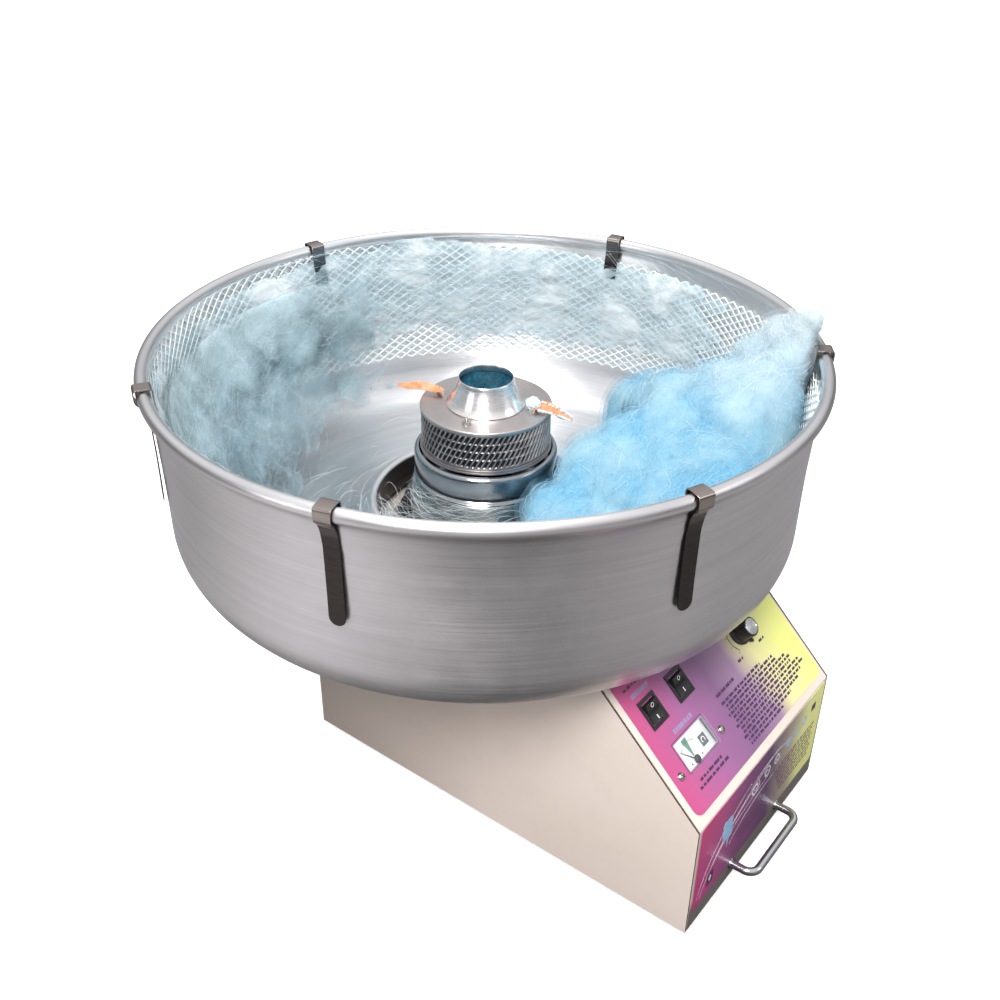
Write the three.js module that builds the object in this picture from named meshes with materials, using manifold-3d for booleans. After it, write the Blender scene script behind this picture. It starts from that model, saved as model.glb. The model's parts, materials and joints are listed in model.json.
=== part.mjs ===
// Cotton candy (floss) machine: a sheet-steel cabinet with a motor inside, a spinning sugar head on top
// and a spun aluminium bowl around the head. Millimetres, +Z up, the control panel faces -Y.
// The origin is at floor level, in the middle of the outline seen from above.
import * as THREE from 'three';
import { mergeVertices } from 'three/addons/utils/BufferGeometryUtils.js';
import Module from 'manifold-3d';

// ---------------------------------------------------------------- driving dimensions
const GAP = 0.3; // clearance between pieces that touch
const SHEET = 2; // cabinet sheet thickness
const SEAM = 0.8; // dark joint between the side panels and the panels between them

const FOOT_HEIGHT = 10;
const FOOT_RADIUS = 12;
const FOOT_INSET = 38; // foot centre from the cabinet's side
const AXIS_Y = 24; // spin axis, forward of the outline's middle by half the handle's reach

const CABINET_WIDTH = 272;
const CABINET_FRONT = AXIS_Y - 347;
const CABINET_REAR = AXIS_Y + 128;
const CABINET_BOTTOM = FOOT_HEIGHT;
const FRONT_HEIGHT = 134; // vertical part of the front
const DECK_HEIGHT = 249; // cabinet bottom to the deck's top face
const PANEL_ANGLE = THREE.MathUtils.degToRad(43.9); // control panel from horizontal

const BOWL_RADIUS = 330; // outside the rolled rim, a 26 inch bowl
const BOWL_BOTTOM = CABINET_BOTTOM + 252;
const BOWL_TOP = CABINET_BOTTOM + 465;
const BOWL_SHEET = 2;
const BOWL_CORNER = 55;
const BOWL_SEGMENTS = 48;
const RIM_ROLL = 6.5; // radius of the rolled rim
const HUB_HOLE = 112.5;
const HUB_TOP = CABINET_BOTTOM + 291.6;

const NET_BOTTOM = CABINET_BOTTOM + 306;
const NET_TOP = CABINET_BOTTOM + 440;
const NET_THICKNESS = 2.2;

const CLIP_ANGLES = [10, 75.5, 147.7, 196.2, 248.5, 304.5]; // set by hand, so not evenly spaced
const CLIP_WIDTH = 15;
const CLIP_SHEET = 1.2;
const CLIP_OUTER_LEG = 116;
const CLIP_INNER_LEG = 45;

const HEAD_RADIUS = 66; // spinner head's top plate
const HEAD_BOTTOM = CABINET_BOTTOM + 351;
const HEAD_TOP = CABINET_BOTTOM + 397;
const FUNNEL_TOP = CABINET_BOTTOM + 425;
const FUNNEL_MOUTH = 27.8;
const FUNNEL_FOOT = 38.5;
const CUP_RADIUS = 72.5;
const CUP_BOTTOM = CABINET_BOTTOM + 319;
const CUP_TOP = CABINET_BOTTOM + 350;
const SHAFT_RADIUS = 6;
const STUD_RADIUS = 50; // pitch radius of the four heater terminals
const STUD_ANGLES = [13, 103, 196, 288];

const HANDLE_SPAN = 98;
const HANDLE_REACH = 25.5; // front panel to the grip's centre line
const HANDLE_ROD = 4.2;
const HANDLE_HEIGHT = CABINET_BOTTOM + 18;

const SWITCH_WIDTH = 25.7;
const SWITCH_HEIGHT = 29.2;
const SWITCHES = { main: [-98, 108.4], heat: [-51, 108.4] }; // centres on the control panel
const ROCKER_TILT = THREE.MathUtils.degToRad(10);
const METER = { x: -77, y: 58, width: 54, height: 32, depth: 3.4 };
const NEEDLE_PIVOT = [METER.x - 10, METER.y - 10.5];
const NEEDLE_REST = THREE.MathUtils.degToRad(131); // needle direction from the panel's X axis
const PANEL_SCREWS = { left: [-115, 47.5], right: [-39, 48.5] };
const KNOB = { x: 59, y: 101.5, radius: 10.5, height: 19 };
const KNOB_POINTER = THREE.MathUtils.degToRad(-62);
const DECAL_THICKNESS = 0.5;
const FRONT_DECAL = { width: 259, height: 101, z: 74 }; // z is its middle above the cabinet's bottom
const PANEL_DECAL = { x: 2.5, y: 83, width: 257, height: 148, corner: 9 };
const GLAND = { x: 90, z: CABINET_BOTTOM + 40 };

// ---------------------------------------------------------------- worked-out sizes
const deckTop = CABINET_BOTTOM + DECK_HEIGHT;
const kinkZ = CABINET_BOTTOM + FRONT_HEIGHT;
const slopeRise = DECK_HEIGHT - FRONT_HEIGHT;
const slopeLength = slopeRise / Math.sin(PANEL_ANGLE);
const slopeTopY = CABINET_FRONT + slopeRise / Math.tan(PANEL_ANGLE);
const innerWidth = CABINET_WIDTH - 2 * (SHEET + SEAM);

const wasm = await Module();
wasm.setup();

// ---------------------------------------------------------------- helpers
const finish = (color, roughness, metalness) =>
  new THREE.MeshStandardMaterial({ color, roughness, metalness });

const cream = finish('#d8c8bc', 0.45, 0.2);
const steel = finish('#b9b6b4', 0.3, 1);
const darkSteel = finish('#6f6b6a', 0.4, 1);
const aluminium = finish('#a5a0a2', 0.38, 1);
const chrome = finish('#d5d7db', 0.08, 1);
const black = finish('#141416', 0.3, 0);
const rubber = finish('#1d1d1d', 0.85, 0);
const whitePlastic = finish('#eceff0', 0.5, 0);
const brass = finish('#b08d3c', 0.3, 1);
const orange = finish('#e8703a', 0.7, 0);
const flossBlue = finish('#9fd6ee', 0.95, 0);
const decalPink = finish('#c9579f', 0.35, 0);

/** Adds one named piece to a group. */
function addPiece(group, name, geometry, material) {
  const mesh = new THREE.Mesh(geometry, material);
  mesh.name = name;
  group.add(mesh);
  return mesh;
}

const box = (width, depth, height) => new THREE.BoxGeometry(width, depth, height);

/** A cylinder along Z, standing on z = 0. */
function cylinder(radius, height, segments = 24, topRadius = radius) {
  const geometry = new THREE.CylinderGeometry(topRadius, radius, height, segments);
  return geometry.rotateX(Math.PI / 2).translate(0, 0, height / 2);
}

/** Turns a closed (radius, z) outline, listed anticlockwise, about the Z axis. */
function turned(outline, segments = 36) {
  const points = outline.map(([r, z]) => new THREE.Vector2(r, z));
  points.push(points[0].clone());
  return new THREE.LatheGeometry(points, segments).rotateX(Math.PI / 2);
}

/** Outline of a plain ring for turned(). */
const ringOutline = (inner, outer, bottom, top) => [
  [inner, bottom], [outer, bottom], [outer, top], [inner, top],
];

/** Points on an arc in the outline plane, angles in degrees. */
function arcPoints(cx, cy, radius, from, to, steps) {
  return Array.from({ length: steps + 1 }, (_, i) => {
    const angle = THREE.MathUtils.degToRad(from + ((to - from) * i) / steps);
    return [cx + radius * Math.cos(angle), cy + radius * Math.sin(angle)];
  });
}

/** Extrudes a closed XY outline along +Z and cuts its holes right through. */
function plate(outline, thickness, holes = []) {
  const shape = new THREE.Shape(outline.map(([x, y]) => new THREE.Vector2(x, y)));
  const sheet = new THREE.ExtrudeGeometry(shape, { depth: thickness, bevelEnabled: false });
  if (holes.length === 0) return sheet;
  return cut(sheet, ...holes.map((hole) => plate(hole, thickness + 2).translate(0, 0, -1)));
}

/** A rectangle's corners, rounded when a radius is given. */
function rectangle(cx, cy, width, height, radius = 0) {
  const [w, h] = [width / 2 - radius, height / 2 - radius];
  if (radius === 0) return [[cx - w, cy - h], [cx + w, cy - h], [cx + w, cy + h], [cx - w, cy + h]];
  const corners = [[w, -h, -90], [w, h, 0], [-w, h, 90], [-w, -h, 180]];
  return corners.flatMap(([x, y, start]) => arcPoints(cx + x, cy + y, radius, start, start + 90, 4));
}

const circle = (cx, cy, radius, steps = 24) => arcPoints(cx, cy, radius, 0, 360, steps).slice(0, -1);

/** Sweeps an outline along a curve. */
function swept(outline, curve, steps) {
  const shape = new THREE.Shape(outline.map(([x, y]) => new THREE.Vector2(x, y)));
  return new THREE.ExtrudeGeometry(shape, { steps, extrudePath: curve, bevelEnabled: false });
}

function toSolid(geometry) {
  const bare = geometry.clone();
  bare.deleteAttribute('normal');
  bare.deleteAttribute('uv');
  const merged = mergeVertices(bare, 1e-4);
  return new wasm.Manifold(new wasm.Mesh({
    numProp: 3,
    vertProperties: new Float32Array(merged.attributes.position.array),
    triVerts: new Uint32Array(merged.index.array),
  }));
}

function toGeometry(solid) {
  const mesh = solid.getMesh();
  const geometry = new THREE.BufferGeometry();
  geometry.setAttribute('position', new THREE.BufferAttribute(mesh.vertProperties, mesh.numProp));
  geometry.setIndex(new THREE.BufferAttribute(mesh.triVerts, 1));
  geometry.computeVertexNormals();
  return geometry;
}

const cut = (body, ...tools) =>
  toGeometry(tools.reduce((solid, tool) => solid.subtract(toSolid(tool)), toSolid(body)));

const join = (body, ...others) =>
  toGeometry(others.reduce((solid, other) => solid.add(toSolid(other)), toSolid(body)));

// ---------------------------------------------------------------- cabinet
function sidePanel(x) {
  const profile = [
    [CABINET_FRONT, CABINET_BOTTOM],
    [CABINET_REAR, CABINET_BOTTOM],
    [CABINET_REAR, deckTop],
    [slopeTopY, deckTop],
    [CABINET_FRONT, kinkZ],
  ];
  const panel = plate(profile, SHEET);
  panel.rotateX(Math.PI / 2).rotateZ(Math.PI / 2);
  return panel.translate(x, 0, 0);
}

function frontPanel() {
  const height = FRONT_HEIGHT - SHEET;
  return box(innerWidth, SHEET, height).translate(0, CABINET_FRONT + SHEET / 2, CABINET_BOTTOM + height / 2);
}

/** The deck's round hole lets the motor's neck, brushes and shaft through. */
function topDeck() {
  const front = slopeTopY + SHEET;
  const centre = (front + CABINET_REAR) / 2;
  const outline = rectangle(0, centre, innerWidth, CABINET_REAR - front);
  return plate(outline, SHEET, [circle(0, AXIS_Y, 60, 36)]).translate(0, 0, deckTop - SHEET);
}

/** The rear panel has a row of cooling slots and the hole for the mains cord's gland. */
function rearPanel() {
  const height = DECK_HEIGHT - SHEET - GAP;
  const slots = Array.from({ length: 7 }, (_, i) => rectangle(0, 90 + i * 16, 120, 6));
  const gland = circle(GLAND.x, GLAND.z - CABINET_BOTTOM, 8.3, 16);
  const panel = plate(rectangle(0, height / 2, innerWidth, height), SHEET, [...slots, gland]);
  return panel.rotateX(Math.PI / 2).translate(0, CABINET_REAR, CABINET_BOTTOM);
}

function basePlate() {
  const depth = CABINET_REAR - CABINET_FRONT - 2 * (SHEET + GAP);
  const centre = (CABINET_REAR + CABINET_FRONT) / 2;
  return box(innerWidth, depth, SHEET).translate(0, centre, CABINET_BOTTOM + SHEET / 2);
}

function addFeet(group) {
  const x = CABINET_WIDTH / 2 - FOOT_INSET;
  const places = {
    foot_front_left: [-x, CABINET_FRONT + 45],
    foot_front_right: [x, CABINET_FRONT + 45],
    foot_rear_left: [-x, CABINET_REAR - 42],
    foot_rear_right: [x, CABINET_REAR - 42],
  };
  for (const [name, [px, py]] of Object.entries(places)) {
    const foot = cylinder(FOOT_RADIUS - 1, FOOT_HEIGHT - GAP, 20, FOOT_RADIUS);
    addPiece(group, name, foot.translate(px, py, 0), rubber);
  }
}

/** A bent rod: out of the panel, round a corner, across, and back. */
function frontHandle() {
  const bend = 11;
  const half = HANDLE_SPAN / 2;
  const start = CABINET_FRONT - GAP;
  const outer = CABINET_FRONT - HANDLE_REACH;
  const at = (x, y) => new THREE.Vector3(x, y, HANDLE_HEIGHT);
  const path = new THREE.CurvePath();
  const [legEnd, gripEnd] = [outer + bend, half - bend];
  path.add(new THREE.LineCurve3(at(-half, start), at(-half, legEnd)));
  path.add(new THREE.QuadraticBezierCurve3(at(-half, legEnd), at(-half, outer), at(-gripEnd, outer)));
  path.add(new THREE.LineCurve3(at(-gripEnd, outer), at(gripEnd, outer)));
  path.add(new THREE.QuadraticBezierCurve3(at(gripEnd, outer), at(half, outer), at(half, legEnd)));
  path.add(new THREE.LineCurve3(at(half, legEnd), at(half, start)));
  return swept(circle(0, 0, HANDLE_ROD, 10), path, 36);
}

function addCabinet(group) {
  addPiece(group, 'left_side_panel', sidePanel(-CABINET_WIDTH / 2), cream);
  addPiece(group, 'right_side_panel', sidePanel(CABINET_WIDTH / 2 - SHEET), cream);
  addPiece(group, 'front_panel', frontPanel(), cream);
  addPiece(group, 'top_deck', topDeck(), cream);
  addPiece(group, 'rear_panel', rearPanel(), cream);
  addPiece(group, 'base_plate', basePlate(), darkSteel);
  addFeet(group);
  addPiece(group, 'front_handle', frontHandle(), chrome);
  const frontDecal = box(FRONT_DECAL.width, DECAL_THICKNESS, FRONT_DECAL.height);
  frontDecal.translate(0, CABINET_FRONT - GAP - DECAL_THICKNESS / 2, CABINET_BOTTOM + FRONT_DECAL.z);
  addPiece(group, 'front_decal', frontDecal, decalPink);
  const gland = turned([[4, -6], [8, -6], [8, 2.3], [12, 2.3], [12, 6], [8, 14], [4, 14]], 24);
  gland.rotateX(-Math.PI / 2).translate(GLAND.x, CABINET_REAR, GLAND.z);
  addPiece(group, 'cord_gland', gland, black);
}

// ---------------------------------------------------------------- control panel
// The panel group's X runs across, Y up the slope and Z out of the panel.
const panelGroup = new THREE.Group();
panelGroup.position.set(0, CABINET_FRONT, kinkZ);
panelGroup.rotation.x = PANEL_ANGLE;

/** Rectangles over both switches, larger than the bezels by a margin. */
function switchCutouts(margin) {
  const [width, height] = [SWITCH_WIDTH + margin, SWITCH_HEIGHT + margin];
  return Object.values(SWITCHES).map(([x, y]) => rectangle(x, y, width, height));
}

function panelPlate() {
  const length = slopeLength - GAP;
  const holes = switchCutouts(-3.4);
  holes.push(circle(KNOB.x, KNOB.y, 4, 16));
  return plate(rectangle(0, GAP + length / 2, innerWidth, length), SHEET, holes).translate(0, 0, -SHEET);
}

/** The printed overlay stops short of the panel's edges and is pierced for the controls. */
function panelDecal() {
  const holes = switchCutouts(0.6);
  holes.push(rectangle(METER.x, METER.y, METER.width + 0.6, METER.height + 0.6));
  holes.push(circle(KNOB.x, KNOB.y, 4, 16));
  holes.push(...Object.values(PANEL_SCREWS).map(([x, y]) => circle(x, y, 4.8, 16)));
  const { x: cx, y: cy, width, height, corner } = PANEL_DECAL;
  return plate(rectangle(cx, cy, width, height, corner), DECAL_THICKNESS, holes).translate(0, 0, GAP);
}

/** A snap-in switch body: a bezel on the panel and a box behind it, open at the front for the rocker. */
function switchHousing(x, y) {
  const bezel = box(SWITCH_WIDTH, SWITCH_HEIGHT, 1.6).translate(0, 0, GAP + 0.8);
  const body = box(SWITCH_WIDTH - 4, SWITCH_HEIGHT - 4, 22).translate(0, 0, -10.5);
  const pocket = box(SWITCH_WIDTH - 7, SWITCH_HEIGHT - 7, 12).translate(0, 0, -1);
  return cut(join(bezel, body), pocket).translate(x, y, 0);
}

/** The rocker's face is two flats meeting over its pivot, tipped to one side. */
function switchRocker() {
  const half = SWITCH_HEIGHT / 2 - 4.9;
  const side = [[-half, -2], [half, -2], [half, 3.6], [0, 2], [-half, 3.6]];
  const rocker = plate(side, SWITCH_WIDTH - 8);
  rocker.translate(0, 0, 4 - SWITCH_WIDTH / 2).rotateY(Math.PI / 2).rotateX(Math.PI / 2);
  return rocker.rotateX(ROCKER_TILT);
}

/** The meter's clear cover: a shallow box with its back open over the scale. */
function meterCase() {
  const outer = plate(rectangle(0, 0, METER.width, METER.height, 1.5), METER.depth);
  const inner = plate(rectangle(0, 0, METER.width - 3, METER.height - 3), METER.depth).translate(0, 0, -1.2);
  return cut(outer, inner).translate(METER.x, METER.y, GAP);
}

/** A tapered pointer on a round boss, drawn from its pivot along +X. */
function meterNeedle() {
  const pointer = [[0, -0.8], [20, -0.3], [20, 0.3], [0, 0.8]];
  return join(plate(pointer, 0.4), cylinder(2.2, 0.5, 16));
}

function knob() {
  const profile = [
    [0, 0.4], [14, 0.4], [14, 2.4], [11, 4], [KNOB.radius, 6],
    [KNOB.radius - 0.6, KNOB.height], [8.6, KNOB.height], [8.6, KNOB.height - 1], [0, KNOB.height - 1],
  ];
  const points = profile.map(([r, z]) => new THREE.Vector2(r, z));
  const body = new THREE.LatheGeometry(points, 32).rotateX(Math.PI / 2);
  const nose = plate([[6, -5.5], [20, -0.8], [20, 0.8], [6, 5.5]], 2.2).translate(0, 0, 0.6);
  const spindle = cylinder(3, 16, 16).translate(0, 0, -14);
  return join(body, nose, spindle);
}

function addControls(group) {
  addPiece(group, 'control_panel', panelPlate(), cream);
  addPiece(group, 'control_decal', panelDecal(), decalPink);
  for (const [name, [x, y]] of Object.entries(SWITCHES)) {
    addPiece(group, `${name}_switch_housing`, switchHousing(x, y), black);
    addPiece(group, `${name}_switch_rocker`, switchRocker(), black).position.set(x, y, 0.6);
  }
  addPiece(group, 'meter_case', meterCase(), whitePlastic);
  const scale = box(METER.width - 4, METER.height - 4, 0.6);
  addPiece(group, 'meter_scale', scale.translate(METER.x, METER.y, GAP + 0.3), whitePlastic);
  const needle = addPiece(group, 'meter_needle', meterNeedle(), black);
  needle.position.set(...NEEDLE_PIVOT, 1.3);
  needle.rotation.z = NEEDLE_REST;
  for (const [side, [x, y]] of Object.entries(PANEL_SCREWS)) {
    const head = turned([[0.01, 0], [4.2, 0], [4.2, 0.8], [3, 2], [0.01, 2.4]], 20);
    addPiece(group, `panel_screw_${side}`, head.translate(x, y, GAP), steel);
  }
  const knobMesh = addPiece(group, 'heat_knob', knob(), black);
  knobMesh.position.set(KNOB.x, KNOB.y, 0.6);
  knobMesh.rotation.z = KNOB_POINTER;
  const cap = cylinder(8.2, 1.4, 28, 7.8);
  addPiece(group, 'heat_knob_cap', cap.translate(KNOB.x, KNOB.y, KNOB.height - 0.1), chrome);
  const regulator = cut(cylinder(17, 24, 28), cylinder(3.6, 30, 16).translate(0, 0, 8));
  addPiece(group, 'heat_control_body', regulator.translate(KNOB.x, KNOB.y, -SHEET - GAP - 24), darkSteel);
}

// ---------------------------------------------------------------- drive
// The drive group's origin is on the spin axis at the cabinet's bottom.
const driveGroup = new THREE.Group();
driveGroup.position.set(0, AXIS_Y, 0);

/** Motor can with a stepped nose around the shaft. */
function motorHousing() {
  const bottom = CABINET_BOTTOM + 88;
  const top = CABINET_BOTTOM + 226;
  return turned([
    [SHAFT_RADIUS + 1, bottom], [48, bottom], [55, bottom + 8], [55, top - 8], [48, top - 2],
    [22, top - 2], [22, top], [SHAFT_RADIUS + 1, top],
  ], 32);
}

function addDrive(group) {
  addPiece(group, 'motor_housing', motorHousing(), darkSteel);
  const plateZ = CABINET_BOTTOM + 226.3;
  const mountPlate = plate(rectangle(0, 0, 150, 130), 3, [circle(0, 0, 10, 20)]);
  addPiece(group, 'motor_mount_plate', mountPlate.translate(0, 0, plateZ), steel);
  for (const [side, x] of [['left', -67], ['right', 67]]) {
    const rail = box(14, 126, deckTop - SHEET - GAP - plateZ - 3.3);
    const centre = (deckTop - SHEET - GAP + plateZ + 3.3) / 2;
    addPiece(group, `motor_mount_rubber_${side}`, rail.translate(x, 0, centre), rubber);
  }
  const shaftBottom = CABINET_BOTTOM + 84;
  const shaft = cylinder(SHAFT_RADIUS, HEAD_BOTTOM + 12 - shaftBottom, 20);
  addPiece(group, 'motor_shaft', shaft.translate(0, 0, shaftBottom), steel);
  const ringBase = CABINET_BOTTOM + 262;
  const sleeve = turned(ringOutline(SHAFT_RADIUS + GAP, 14, ringBase, ringBase + 38), 24);
  addPiece(group, 'slip_ring_hub', sleeve, black);
  for (const [name, lift] of [['lower', 6], ['upper', 22]]) {
    const ring = turned(ringOutline(14 + GAP, 21, ringBase + lift, ringBase + lift + 9), 24);
    addPiece(group, `slip_ring_${name}`, ring, brass);
  }
  const brushBottom = plateZ + 3.3;
  const brushes = box(16, 24, ringBase + 36 - brushBottom);
  addPiece(group, 'brush_block', brushes.translate(30, 0, (ringBase + 36 + brushBottom) / 2), black);
}

// ---------------------------------------------------------------- spinner head and its surround
/** Conical skirt standing on the deck, flanged inward at the top to carry the cup. */
function headSkirt() {
  const base = deckTop + GAP;
  const top = CUP_BOTTOM - GAP;
  return turned([
    [100, base], [103, base], [103, base + 1.5], [73, top - 3], [71, top],
    [46, top], [46, top - 2], [70, top - 2], [71, top - 4],
  ]);
}

/** Polished cup below the head: a rolled lip at its foot, a straight wall and a rounded shoulder. */
function headCup() {
  return turned([
    [30, CUP_BOTTOM], [CUP_RADIUS + 0.8, CUP_BOTTOM], [CUP_RADIUS + 0.8, CUP_BOTTOM + 2],
    [CUP_RADIUS - 2, CUP_BOTTOM + 3.5], [CUP_RADIUS, CUP_BOTTOM + 7], [CUP_RADIUS, CUP_TOP - 6],
    [CUP_RADIUS - 1, CUP_TOP - 2], [CUP_RADIUS - 3.5, CUP_TOP], [CUP_RADIUS - 4.5, CUP_TOP - 0.5],
    [CUP_RADIUS - 2, CUP_TOP - 6], [CUP_RADIUS - 2, CUP_BOTTOM + 8],
    [CUP_RADIUS - 4, CUP_BOTTOM + 2], [30, CUP_BOTTOM + 2],
  ]);
}

function spinnerBase() {
  return turned([
    [SHAFT_RADIUS + GAP, HEAD_BOTTOM - 22], [14, HEAD_BOTTOM - 22], [14, HEAD_BOTTOM],
    [66.5, HEAD_BOTTOM], [66.5, HEAD_BOTTOM + 2], [65.6, HEAD_BOTTOM + 2.8], [66.2, HEAD_BOTTOM + 4.7],
    [60, HEAD_BOTTOM + 4.7], [58, HEAD_BOTTOM + 2.5], [SHAFT_RADIUS + GAP, HEAD_BOTTOM + 2.5],
  ]);
}

function topPlate() {
  return turned([
    [34, HEAD_TOP - 2], [64, HEAD_TOP - 2], [64.4, HEAD_TOP - 3.6], [65.6, HEAD_TOP - 3.6],
    [HEAD_RADIUS, HEAD_TOP - 1], [65, HEAD_TOP], [34, HEAD_TOP],
  ]);
}

/** Open cone: foot flange on the top plate, flaring wall, short upright mouth. */
function funnel() {
  const base = HEAD_TOP + GAP;
  return turned([
    [FUNNEL_FOOT - 3, base], [FUNNEL_FOOT + 1, base], [FUNNEL_FOOT + 1, base + 1.2],
    [FUNNEL_FOOT - 1, base + 2.5], [FUNNEL_MOUTH + 1.2, FUNNEL_TOP - 6], [FUNNEL_MOUTH, FUNNEL_TOP - 3],
    [FUNNEL_MOUTH, FUNNEL_TOP], [FUNNEL_MOUTH - 1.4, FUNNEL_TOP], [FUNNEL_MOUTH - 1.4, FUNNEL_TOP - 3.5],
  ]);
}

function addStuds(group) {
  STUD_ANGLES.forEach((degrees, index) => {
    const angle = THREE.MathUtils.degToRad(degrees);
    const nut = join(cylinder(4, 3.2, 6), cylinder(1.9, 6.5, 12));
    const [x, y] = [STUD_RADIUS * Math.cos(angle), STUD_RADIUS * Math.sin(angle)];
    addPiece(group, `terminal_nut_${index + 1}`, nut.translate(x, y, HEAD_TOP + GAP), steel);
  });
}

/** A cloth streamer tied at a stud, reaching out past the head and drooping by a given amount. */
function streamer(degrees, reach, droop) {
  const angle = THREE.MathUtils.degToRad(degrees);
  const at = (r, z) => new THREE.Vector3(r * Math.cos(angle), r * Math.sin(angle), z);
  const start = HEAD_TOP + 2.4;
  const curve = new THREE.CatmullRomCurve3([
    at(STUD_RADIUS + 5.5, start), at(STUD_RADIUS + 18, start + 2),
    at((STUD_RADIUS + 18 + reach) / 2, start + 2 - droop * 0.4), at(reach, start + 1 - droop),
  ]);
  return swept(rectangle(0, 0, 1.2, 6), curve, 10);
}

function addHead(group) {
  addPiece(group, 'head_skirt', headSkirt(), steel);
  addPiece(group, 'head_cup', headCup(), chrome);
  addPiece(group, 'spinner_base', spinnerBase(), steel);
  const bandBottom = HEAD_BOTTOM + 5;
  addPiece(group, 'perforated_band', turned(ringOutline(62.8, 64.6, bandBottom, HEAD_TOP - 4)), darkSteel);
  addPiece(group, 'heater_ribbon', turned(ringOutline(55.5, 57, bandBottom + 3, HEAD_TOP - 8)), darkSteel);
  addPiece(group, 'head_top_plate', topPlate(), steel);
  addPiece(group, 'funnel', funnel(), steel);
  addStuds(group);
  addPiece(group, 'streamer_left', streamer(108, 93, 1), orange);
  addPiece(group, 'streamer_right', streamer(290, 88, 9), orange);
}

// ---------------------------------------------------------------- bowl
/** Skin of the bowl at one face; inset 0 is the outside, BOWL_SHEET the inside. Runs from hub to rim. */
function bowlSkin(inset) {
  const wall = 315.5 - inset;
  const floor = BOWL_BOTTOM + inset;
  const cornerX = 315.5 - BOWL_CORNER;
  const above = (height) => BOWL_BOTTOM + height;
  return [
    [169, floor],
    [230, floor],
    ...arcPoints(cornerX, BOWL_BOTTOM + BOWL_CORNER, BOWL_CORNER - inset, -90, 0, 5),
    [wall + 1, above(128)],
    [wall + 2.5, above(167)],
    [wall + 5.1, above(187)],
    [wall + 7.5, above(197)],
  ];
}

function bowlSolid() {
  const rollCentre = [BOWL_RADIUS - RIM_ROLL, BOWL_TOP - RIM_ROLL];
  const hubUnder = [[HUB_HOLE, HUB_TOP - 14], [HUB_HOLE + 2, HUB_TOP - 14], [HUB_HOLE + 2, HUB_TOP - 4.5]];
  const hubOver = [[HUB_HOLE + 7.6, HUB_TOP - 0.8], [HUB_HOLE + 4.5, HUB_TOP], [HUB_HOLE + 1, HUB_TOP - 2]];
  const outline = [
    ...hubUnder,
    [HUB_HOLE + 4.6, HUB_TOP - 2.2],
    [HUB_HOLE + 7, HUB_TOP - 2.8],
    ...bowlSkin(0),
    ...arcPoints(...rollCentre, RIM_ROLL, -75, 240, 9),
    ...bowlSkin(BOWL_SHEET).reverse(),
    ...hubOver,
    [HUB_HOLE, HUB_TOP - 5],
  ];
  return turned(outline, BOWL_SEGMENTS);
}

/** Radius of the bowl's inner face at a height above the corner. */
function innerWall(z) {
  const height = z - BOWL_BOTTOM;
  const steps = [[55, 313.5], [128, 314.5], [167, 316], [187, 318.6], [197, 321]];
  const next = steps.findIndex(([h]) => h >= height);
  const [h1, r1] = steps[Math.max(next, 1)];
  const [h0, r0] = steps[Math.max(next, 1) - 1];
  return r0 + ((r1 - r0) * (height - h0)) / (h1 - h0);
}

/** The plastic netting hangs against the wall as one thin sleeve. */
function netSleeve() {
  const heights = [NET_BOTTOM, BOWL_BOTTOM + 128, BOWL_BOTTOM + 167, NET_TOP];
  const outer = heights.map((z) => [innerWall(z) - 0.8, z]);
  const inner = heights.map((z) => [innerWall(z) - 0.8 - NET_THICKNESS, z]).reverse();
  return turned([...outer, ...inner], BOWL_SEGMENTS);
}

/** Strip clip hooked over the rim: long round-ended leg outside, short leg inside. */
function rimClip() {
  const [roll, rollZ] = [BOWL_RADIUS - RIM_ROLL, BOWL_TOP - RIM_ROLL];
  const loop = RIM_ROLL + 1.3;
  const bottom = BOWL_TOP - CLIP_OUTER_LEG;
  const outside = (inset) => [
    [BOWL_RADIUS - 10.9 + inset, bottom],
    [BOWL_RADIUS - 10.2 + inset, BOWL_TOP - 40],
    [BOWL_RADIUS - 4.2 + inset, BOWL_TOP - 14.5],
  ];
  const inside = (inset) => [
    [BOWL_RADIUS - 14.6 - inset, BOWL_TOP - 14],
    [BOWL_RADIUS - 17.6 - inset, BOWL_TOP - 28],
    [BOWL_RADIUS - 19 - inset, BOWL_TOP - CLIP_INNER_LEG],
  ];
  const section = [
    ...outside(CLIP_SHEET),
    ...arcPoints(roll, rollZ, loop + CLIP_SHEET, -40, 205, 9),
    ...inside(CLIP_SHEET),
    ...inside(0).reverse(),
    ...arcPoints(roll, rollZ, loop, 205, -40, 9),
    ...outside(0).reverse(),
  ];
  const strip = plate(section, CLIP_WIDTH).rotateX(Math.PI / 2).translate(0, CLIP_WIDTH / 2, 0);
  return cut(strip, legTip(bottom, 1), legTip(bottom, -1));
}

/** The corner that rounding takes off one side of the clip's outer leg. */
function legTip(bottom, side) {
  const half = CLIP_WIDTH / 2;
  const outline = [[half + 1, -1], ...arcPoints(0, half, half, 0, -90, 5), [0, -1]];
  const corner = plate(outline.map(([y, z]) => [side * y, z]), 30);
  return corner.rotateX(Math.PI / 2).rotateZ(Math.PI / 2).translate(BOWL_RADIUS - 25, 0, bottom);
}

function addBowl(group) {
  addPiece(group, 'bowl', bowlSolid(), aluminium);
  addPiece(group, 'bowl_netting', netSleeve(), whitePlastic);
  CLIP_ANGLES.forEach((degrees, index) => {
    const clip = addPiece(group, `bowl_clip_${index + 1}`, rimClip(), chrome);
    clip.rotation.z = THREE.MathUtils.degToRad(degrees);
  });
  const seat = turned(ringOutline(118, 130, deckTop + GAP, BOWL_BOTTOM - GAP));
  addPiece(group, 'bowl_seat_ring', seat, rubber);
}

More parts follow.
